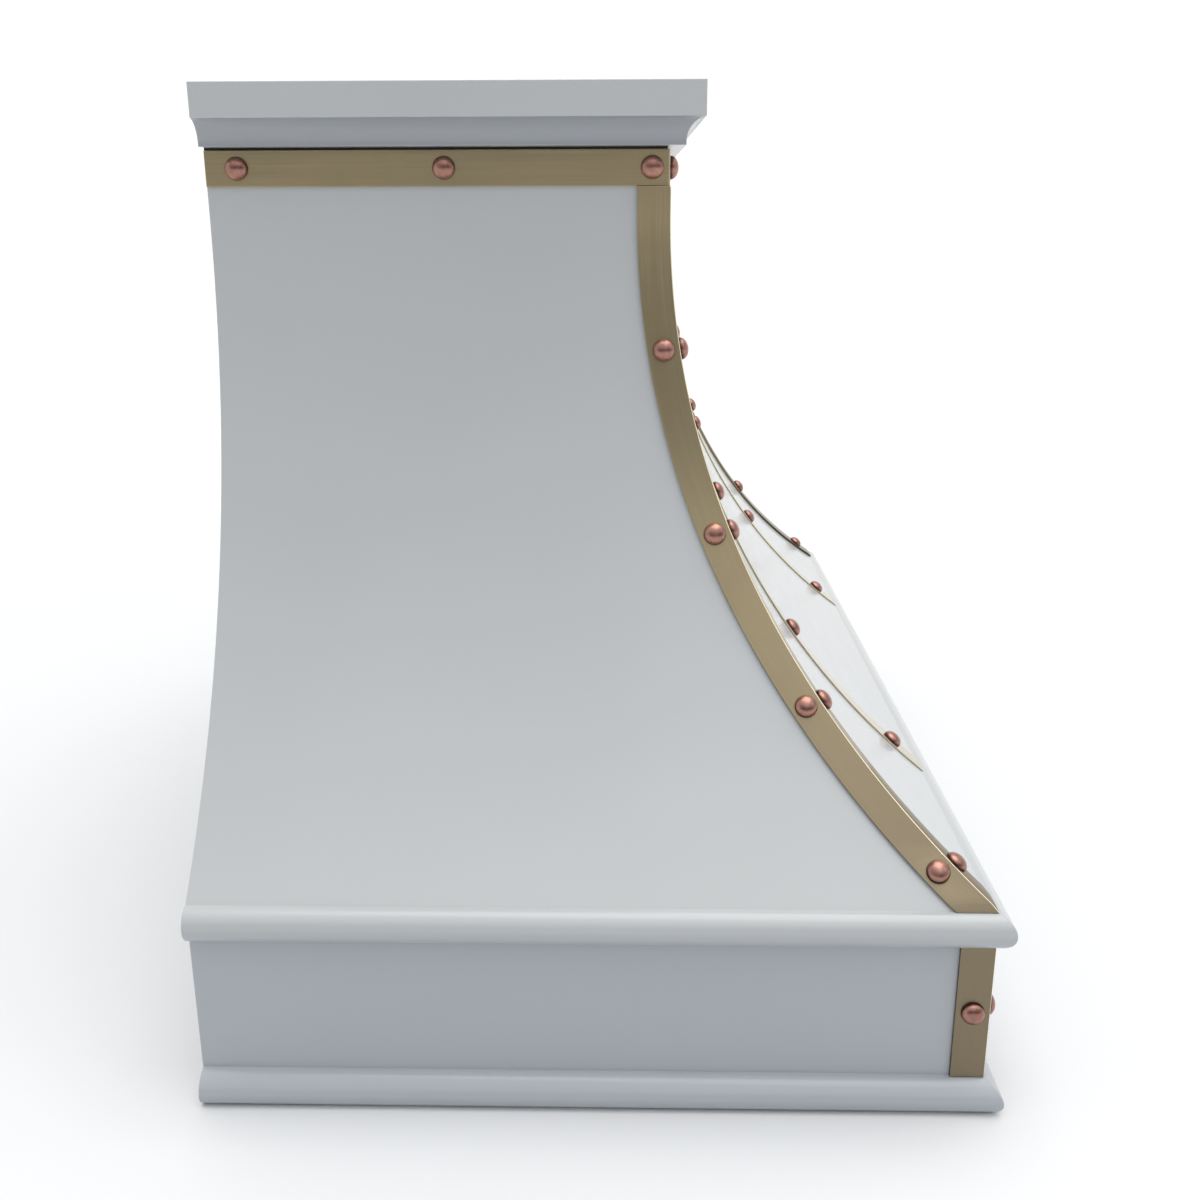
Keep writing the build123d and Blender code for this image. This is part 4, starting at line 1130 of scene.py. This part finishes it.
def bandSpots():
    thickness = strapValues["bandThickness"]
    z = (bandLow.z + bandHigh.z) / 2
    last = neckFront + thickness - rivetValues["bandInset"]
    count = rivetValues["bandSideCount"]
    pitch = (last - rivetValues["bandSideStart"]) / (count - 1)
    spots = []
    for side in (-1, 1):
        for step in range(count):
            depth = rivetValues["bandSideStart"] + step * pitch
            spots.append(((side * (neckHalf + thickness), yAt(depth), z), (side, 0, 0)))
    count = rivetValues["bandFrontCount"]
    edge = neckHalf + thickness - rivetValues["bandInset"]
    for step in range(count):
        x = -edge + 2 * edge * step / (count - 1)
        spots.append(((x, yAt(neckFront + thickness), z), (0, -1, 0)))
    return spots


# A rivet on a curved face: its reach and lean at a height. The rim of its flat base sits on the
# hollow curve, so it stands off a little.
def curvedSpot(neck, radius, thickness, z):
    drop = max(arcTop - z, 0)
    surface = radius - thickness
    turn = math.asin(drop / surface)
    lift = surface - math.sqrt(surface ** 2 - rivetValues["radius"] ** 2)
    faceReach = neck + radius - math.sqrt(surface ** 2 - drop ** 2)
    return faceReach + lift * math.cos(turn), lift * math.sin(turn), math.cos(turn), math.sin(turn)


def leafMiddle(leaf, neck, radius, z):
    drop = max(arcTop - z, 0)
    outer = neck + radius - math.sqrt((radius - strapValues["thickness"]) ** 2 - drop ** 2)
    return (leafEdge(leaf, z) + outer) / 2


# Spots on the corner straps' leaves and on the front straps, at the same levels
def curveSpots():
    thick = strapValues["thickness"]
    thin = strapValues["frontThickness"]
    corner = []
    front = []
    for share in rivetValues["shares"]:
        z = bandLow.z - share * (bandLow.z - beltTop)
        sideX, sideLift, sideOut, sideUp = curvedSpot(neckHalf, sideRadius, thick, z)
        leafDepth, leafLift, leafOut, leafUp = curvedSpot(neckFront, frontRadius, thick, z)
        flatDepth, flatLift, flatOut, flatUp = curvedSpot(neckFront, frontRadius, thin, z)
        sideDepth = leafMiddle(sideLeaf, neckFront, frontRadius, z)
        leafX = leafMiddle(frontLeaf, neckHalf, sideRadius, z)
        for side in (-1, 1):
            corner.append(((side * sideX, yAt(sideDepth), z + sideLift), (side * sideOut, 0, sideUp)))
            corner.append(((side * leafX, yAt(leafDepth), z + leafLift), (0, -leafOut, leafUp)))
            front.append(((side * strapMiddle(z), yAt(flatDepth), z + flatLift), (0, -flatOut, flatUp)))
    return corner, front


def apronSpots():
    middle = strapWidth / 2 - strapValues["thickness"]
    z = (stripLow.z + stripHigh.z) / 2
    outset = strapValues["thickness"]
    frontOutset = strapValues["frontThickness"]
    spots = []
    for side in (-1, 1):
        spots.append(((side * (apronHalf + outset), yAt(apronFront - middle), z), (side, 0, 0)))
        spots.append(((side * (apronHalf - middle), yAt(apronFront + outset), z), (0, -1, 0)))
        spots.append(((side * strapValues["baseX"], yAt(apronFront + frontOutset), z), (0, -1, 0)))
    return spots


def buildRivets():
    values = {
        "Radius": rivetValues["radius"],
        "Dome": rivetValues["dome"],
        "Edge": rivetValues["edge"],
        "Segments": rivetValues["segments"],
        "Rings": rivetValues["rings"],
    }
    tree = rivetTree(values)
    corner, front = curveSpots()
    groups = [
        ("neckBandRivets", "neck_band_rivets", bandSpots()),
        ("cornerStrapRivets", "corner_strap_rivets", corner),
        ("frontStrapRivets", "front_strap_rivets", front),
        ("apronStrapRivets", "apron_strap_rivets", apronSpots()),
    ]
    for name, node, spots in groups:
        piece = runTree(name, pointMesh(name, spots), tree, values)
        shadeByAngle(piece.data, rivetValues["sharpTurn"])
        fitPiece(piece, copper, "hood", [node])


# Filters


filterValues = {
    "frameSheet": 0.0012,
    "sheet": 0.001,
    "pitch": 0.036,
    "width": 0.027,
    "lap": 0.0015,
    "bend": 0.0018,
    "bendSteps": 5,
    "lowerCount": 6,
}


# One folded baffle channel, open upwards, standing on z = 0 and lying along y
def baffleMesh(yFront, yBack, height):
    half = filterValues["width"] / 2
    sheet = filterValues["sheet"]
    bend = filterValues["bend"]
    steps = filterValues["bendSteps"]
    outer = arcBetween((half - bend, bend), bend, -math.pi / 2, 0.0, steps)
    inner = arcBetween((half - bend, bend), bend - sheet, 0.0, -math.pi / 2, steps)
    right = outer + [(half, height), (half - sheet, height)] + inner
    left = [(-x, z) for x, z in reversed(right)]
    profile = right + left
    rings = [[(x, y, z) for x, z in profile] for y in (yFront, yBack)]
    channel = loft("baffleChannel", rings, [0.0, yBack - yFront], 0.0)
    mesh = channel.data
    bpy.data.objects.remove(channel)
    return mesh


# Two rows of the same channel: the lower row open upwards, the upper row turned over and shifted
# by half a pitch, so that the walls pass each other
def baffleTree(values):
    tree, graph, wire = startTree("baffleRows", values)
    lowerCount = wire["Lower Count"]
    upperCount = lowerCount + 1.0
    lowerLeft = wire["Pitch"] * (lowerCount - 1.0) * -0.5
    upperLeft = wire["Pitch"] * lowerCount * -0.5
    lowerStart = graph.node("ShaderNodeCombineXYZ", {}, {0: lowerLeft})
    upperStart = graph.node("ShaderNodeCombineXYZ", {}, {0: upperLeft, 2: wire["Lift"]})
    pitch = graph.node("ShaderNodeCombineXYZ", {}, {0: wire["Pitch"]})
    rows = []
    for count, start, turn in ((lowerCount, lowerStart, 0.0), (upperCount, upperStart, math.pi)):
        points = {"Count": count, "Start Location": start, "Offset": pitch}
        line = graph.node("GeometryNodeMeshLine", {"mode": "OFFSET"}, points)
        rows.append(graph.node(
            "GeometryNodeInstanceOnPoints",
            {},
            {"Points": line, "Instance": wire["Geometry"], "Rotation": (0.0, turn, 0.0)},
        ))
    endTree(graph, graph.join(*reversed(rows)), filterSteel)
    return tree


def buildBaffles():
    wall = filterValues["frameSheet"]
    tree = None
    for side in ("left", "middle", "right"):
        low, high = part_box(side + "_filter_frame")
        clear = high.z - low.z - 2 * wall
        channel = baffleMesh(low.y + wall, high.y - wall, (clear + filterValues["lap"]) / 2)
        values = {
            "Pitch": filterValues["pitch"],
            "Lift": clear,
            "Lower Count": filterValues["lowerCount"],
        }
        tree = tree or baffleTree(values)
        piece = runTree(side + "FilterBaffles", channel, tree, values)
        middle = (low.x + high.x) / 2
        moveMesh(piece, lambda point: Vector((point.x + middle, point.y, point.z + low.z + wall)))
        shadeByAngle(piece.data)
        fitPiece(piece, filterSteel, side + "_filter", [side + "_filter_baffles"])


# Screws


screwValues = {
    "headRadius": 0.004,
    "headHeight": 0.0022,
    "shankRadius": 0.002,
    "shankLength": 0.007,
    "rimInset": 0.015,
    "plateInset": 0.008,
    "crossReach": 0.0021,
    "crossWidth": 0.0008,
    "crossDepth": 0.0013,
    "crossTaper": 0.55,
    "headFlat": 0.45,
    "segments": 32,
    "headSteps": 7,
}


# A pan head with a cross recess, its seat on z = 0, its head up and its shank down
def screwMaster():
    radius = screwValues["headRadius"]
    height = screwValues["headHeight"]
    shank = screwValues["shankRadius"]
    flat = screwValues["headFlat"]
    profile = [(shank, -screwValues["shankLength"]), (shank, 0.0)]
    for step in range(screwValues["headSteps"]):
        turn = math.pi / 2 * step / screwValues["headSteps"]
        profile.append((radius * (flat + (1 - flat) * math.cos(turn)), height * math.sin(turn)))
    rings = []
    for reachOut, z in profile:
        ring = []
        for index in range(screwValues["segments"]):
            turn = 2 * math.pi * index / screwValues["segments"]
            ring.append((reachOut * math.cos(turn), reachOut * math.sin(turn), z))
        rings.append(ring)
    head = loft("panScrew", rings, [z for reachOut, z in profile], 0.0)
    cutters = [crossBar(name, turned) for name, turned in (("barAlong", False), ("barAcross", True))]
    for cutter in cutters:
        cut = head.modifiers.new("cross", "BOOLEAN")
        cut.operation = "DIFFERENCE"
        cut.object = cutter
        cut.solver = "EXACT"
    settle(head)
    for cutter in cutters:
        bpy.data.objects.remove(cutter)
    return head


# One bar of the cross, which tapers downwards
def crossBar(name, turned):
    reachOut = screwValues["crossReach"]
    half = screwValues["crossWidth"] / 2
    low = screwValues["headHeight"] - screwValues["crossDepth"]
    high = 2 * screwValues["headHeight"]
    rings = []
    for end, z in ((screwValues["crossTaper"], low), (1.0, high)):
        wide = (reachOut * end, half)
        x, y = (wide[1], wide[0]) if turned else wide
        rings.append([(-x, -y, z), (x, -y, z), (x, y, z), (-x, y, z)])
    return loft(name, rings, [low, high], 0.0)


def screwTree(master):
    tree, graph, wire = startTree("panScrews", {})
    item = graph.node(
        "GeometryNodeObjectInfo", {"transform_space": "ORIGINAL"}, {"Object": master}, out="Geometry"
    )
    endTree(graph, setOnPoints(graph, wire["Geometry"], item), brightSteel)
    return tree


def screwSpots():
    low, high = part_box("liner_canopy")
    inset = screwValues["rimInset"]
    half = high.x
    xs = [-half + inset, -half / 3, half / 3, half - inset]
    spots = [((x, y, low.z), (0, 0, -1)) for x in xs for y in (low.y + inset, high.y - inset)]
    spots += [((x, (low.y + high.y) / 2, low.z), (0, 0, -1)) for x in (xs[0], xs[-1])]
    low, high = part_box("control_plate")
    reachOut = high.x - screwValues["plateInset"]
    spots += [((side * reachOut, (low.y + high.y) / 2, low.z), (0, 0, -1)) for side in (-1, 1)]
    return spots


def buildScrews():
    master = screwMaster()
    piece = runTree("panScrews", pointMesh("panScrews", screwSpots()), screwTree(master), {})
    bpy.data.objects.remove(master)
    shadeByAngle(piece.data)
    fitPiece(piece, brightSteel, "hood", ["screws"])


buildMouldings()
buildPanels()
print("painted pieces made")
buildCornerStraps()
buildFrontStraps()
buildNeckBand()
buildApronStraps()
buildRivets()
print("brass and rivets made")
buildBaffles()
buildScrews()
print("filters and screws made")


# Studio: a pale floor, three soft lights, and a room that is bright above, in front of, behind and
# beyond the hood and dim on its left


floorValues = {
    "size": 60.0,
    "dark": (0.73, 0.735, 0.74, 1.0),
    "light": (0.75, 0.755, 0.76, 1.0),
    "cloudScale": 1.5,
    "far": (0.93, 0.93, 0.93, 1.0),
    "farStart": 1.2,
    "farRate": 0.5,
    "roughness": 0.85,
}


# The floor is lighter further out, so that no horizon shows
def buildFloor():
    half = floorValues["size"] / 2
    mesh = bpy.data.meshes.new("studioFloor")
    corners = [(-half, -half, 0.0), (half, -half, 0.0), (half, half, 0.0), (-half, half, 0.0)]
    mesh.from_pydata(corners, [], [(0, 1, 2, 3)])
    floor = addObject("studioFloor", mesh)
    material, graph, place = startMaterial("paleFloor")
    cloud = graph.noise(place, floorValues["cloudScale"], 2.0)
    distance = graph.node("ShaderNodeVectorMath", {"operation": "LENGTH"}, {0: place}, out="Value")
    far = ((distance - floorValues["farStart"]) * floorValues["farRate"]).clamp()
    near = graph.mixColour(cloud, floorValues["dark"], floorValues["light"])
    colour = graph.mixColour(far, near, floorValues["far"])
    endMaterial(graph, {"Base Color": colour, "Roughness": floorValues["roughness"]})
    mesh.materials.append(material)


lightAim = (0.0, 0.0, 0.38)
lightValues = {
    "keyLight": {"spot": (-1.5, -3.2, 2.6), "size": 1.6, "power": 5.0, "colour": (1.0, 0.985, 0.96)},
    "sideLight": {"spot": (-3.0, -0.8, 2.6), "size": 1.5, "power": 2.5, "colour": (1.0, 0.99, 0.97)},
    "topLight": {"spot": (-0.3, -0.5, 3.6), "size": 3.0, "power": 52.0, "colour": (1.0, 1.0, 1.0)},
}


def buildLights():
    for name, values in lightValues.items():
        data = bpy.data.lights.new(name, "AREA")
        data.shape = "SQUARE"
        data.size = values["size"]
        data.energy = values["power"]
        data.color = values["colour"]
        lamp = addObject(name, data)
        lamp.location = values["spot"]
        towards = Vector(lightAim) - Vector(values["spot"])
        lamp.rotation_euler = towards.to_track_quat("-Z", "Y").to_euler()


# The strength of the room on each side, and where and how sharply each side starts
roomValues = {
    "dim": 0.02,
    "above": 1.62,
    "abovePower": 1.3,
    "front": 0.9,
    "frontPower": 6.0,
    "beyond": 1.05,
    "beyondStart": 0.2,
    "beyondRate": 2.5,
    "beyondRise": 2.0,
    "behind": 1.0,
    "behindStart": 0.62,
    "behindRate": 5.0,
    "lowTint": (0.90, 0.96, 1.06, 1.0),
    "highTint": (1.0, 0.995, 0.98, 1.0),
}


def buildRoom():
    world = bpy.data.worlds.new("studioRoom")
    world.use_nodes = True
    world.node_tree.nodes.clear()
    graph = Graph(world.node_tree)
    heading = graph.node("ShaderNodeTexCoord", out="Generated")
    right = graph.axis(heading, 0)
    back = graph.axis(heading, 1)
    up = graph.axis(heading, 2)
    most = roomValues["beyond"]
    facing = (right * roomValues["beyondRate"] - roomValues["beyondStart"]).clamp()
    beyond = facing * (up * roomValues["beyondRise"] + most).clamp(0.0, most)
    above = up.clamp() ** roomValues["abovePower"] * roomValues["above"]
    front = (back * -1.0).clamp() ** roomValues["frontPower"] * roomValues["front"]
    behind = ((back - roomValues["behindStart"]) * roomValues["behindRate"]).clamp() * roomValues["behind"]
    brightest = beyond.math("MAXIMUM", above.math("MAXIMUM", front).math("MAXIMUM", behind))
    tint = graph.mixColour(
        up.clamp().math("MAXIMUM", facing), roomValues["lowTint"], roomValues["highTint"]
    )
    light = {"Color": tint, "Strength": brightest + roomValues["dim"]}
    sky = graph.node("ShaderNodeBackground", {}, light)
    output = graph.tree.nodes.new("ShaderNodeOutputWorld")
    graph.tree.links.new(sky.socket, output.inputs["Surface"])
    scene.world = world


# The camera stands off the hood's left side, level with its crown, and looks along the side and
# down. Its place and turns were fitted to edges of the photograph.
cameraValues = {
    "place": (-1.3614, -0.0203, 0.6693),
    "yaw": 1.2512,
    "pitch": 17.0523,
    "roll": -0.1897,
    "lens": 38.215,
    "sensor": 36.0,
    "nearest": 0.05,
}


def buildCamera():
    data = bpy.data.cameras.new("camera")
    data.lens = cameraValues["lens"]
    data.sensor_width = cameraValues["sensor"]
    data.clip_start = cameraValues["nearest"]
    camera = addObject("camera", data)
    yaw = math.radians(cameraValues["yaw"])
    pitch = math.radians(cameraValues["pitch"])
    roll = math.radians(cameraValues["roll"])
    level = math.cos(pitch)
    forward = Vector((math.cos(yaw) * level, math.sin(yaw) * level, -math.sin(pitch)))
    right = forward.cross(Vector((0, 0, 1))).normalized()
    up = right.cross(forward)
    rolledRight = right * math.cos(roll) + up * math.sin(roll)
    rolledUp = up * math.cos(roll) - right * math.sin(roll)
    turned = Matrix((rolledRight, rolledUp, -forward)).transposed().to_4x4()
    camera.matrix_world = Matrix.Translation(Vector(cameraValues["place"])) @ turned
    bpy.context.scene.camera = camera


buildFloor()
buildLights()
buildRoom()
buildCamera()
print("studio ready")
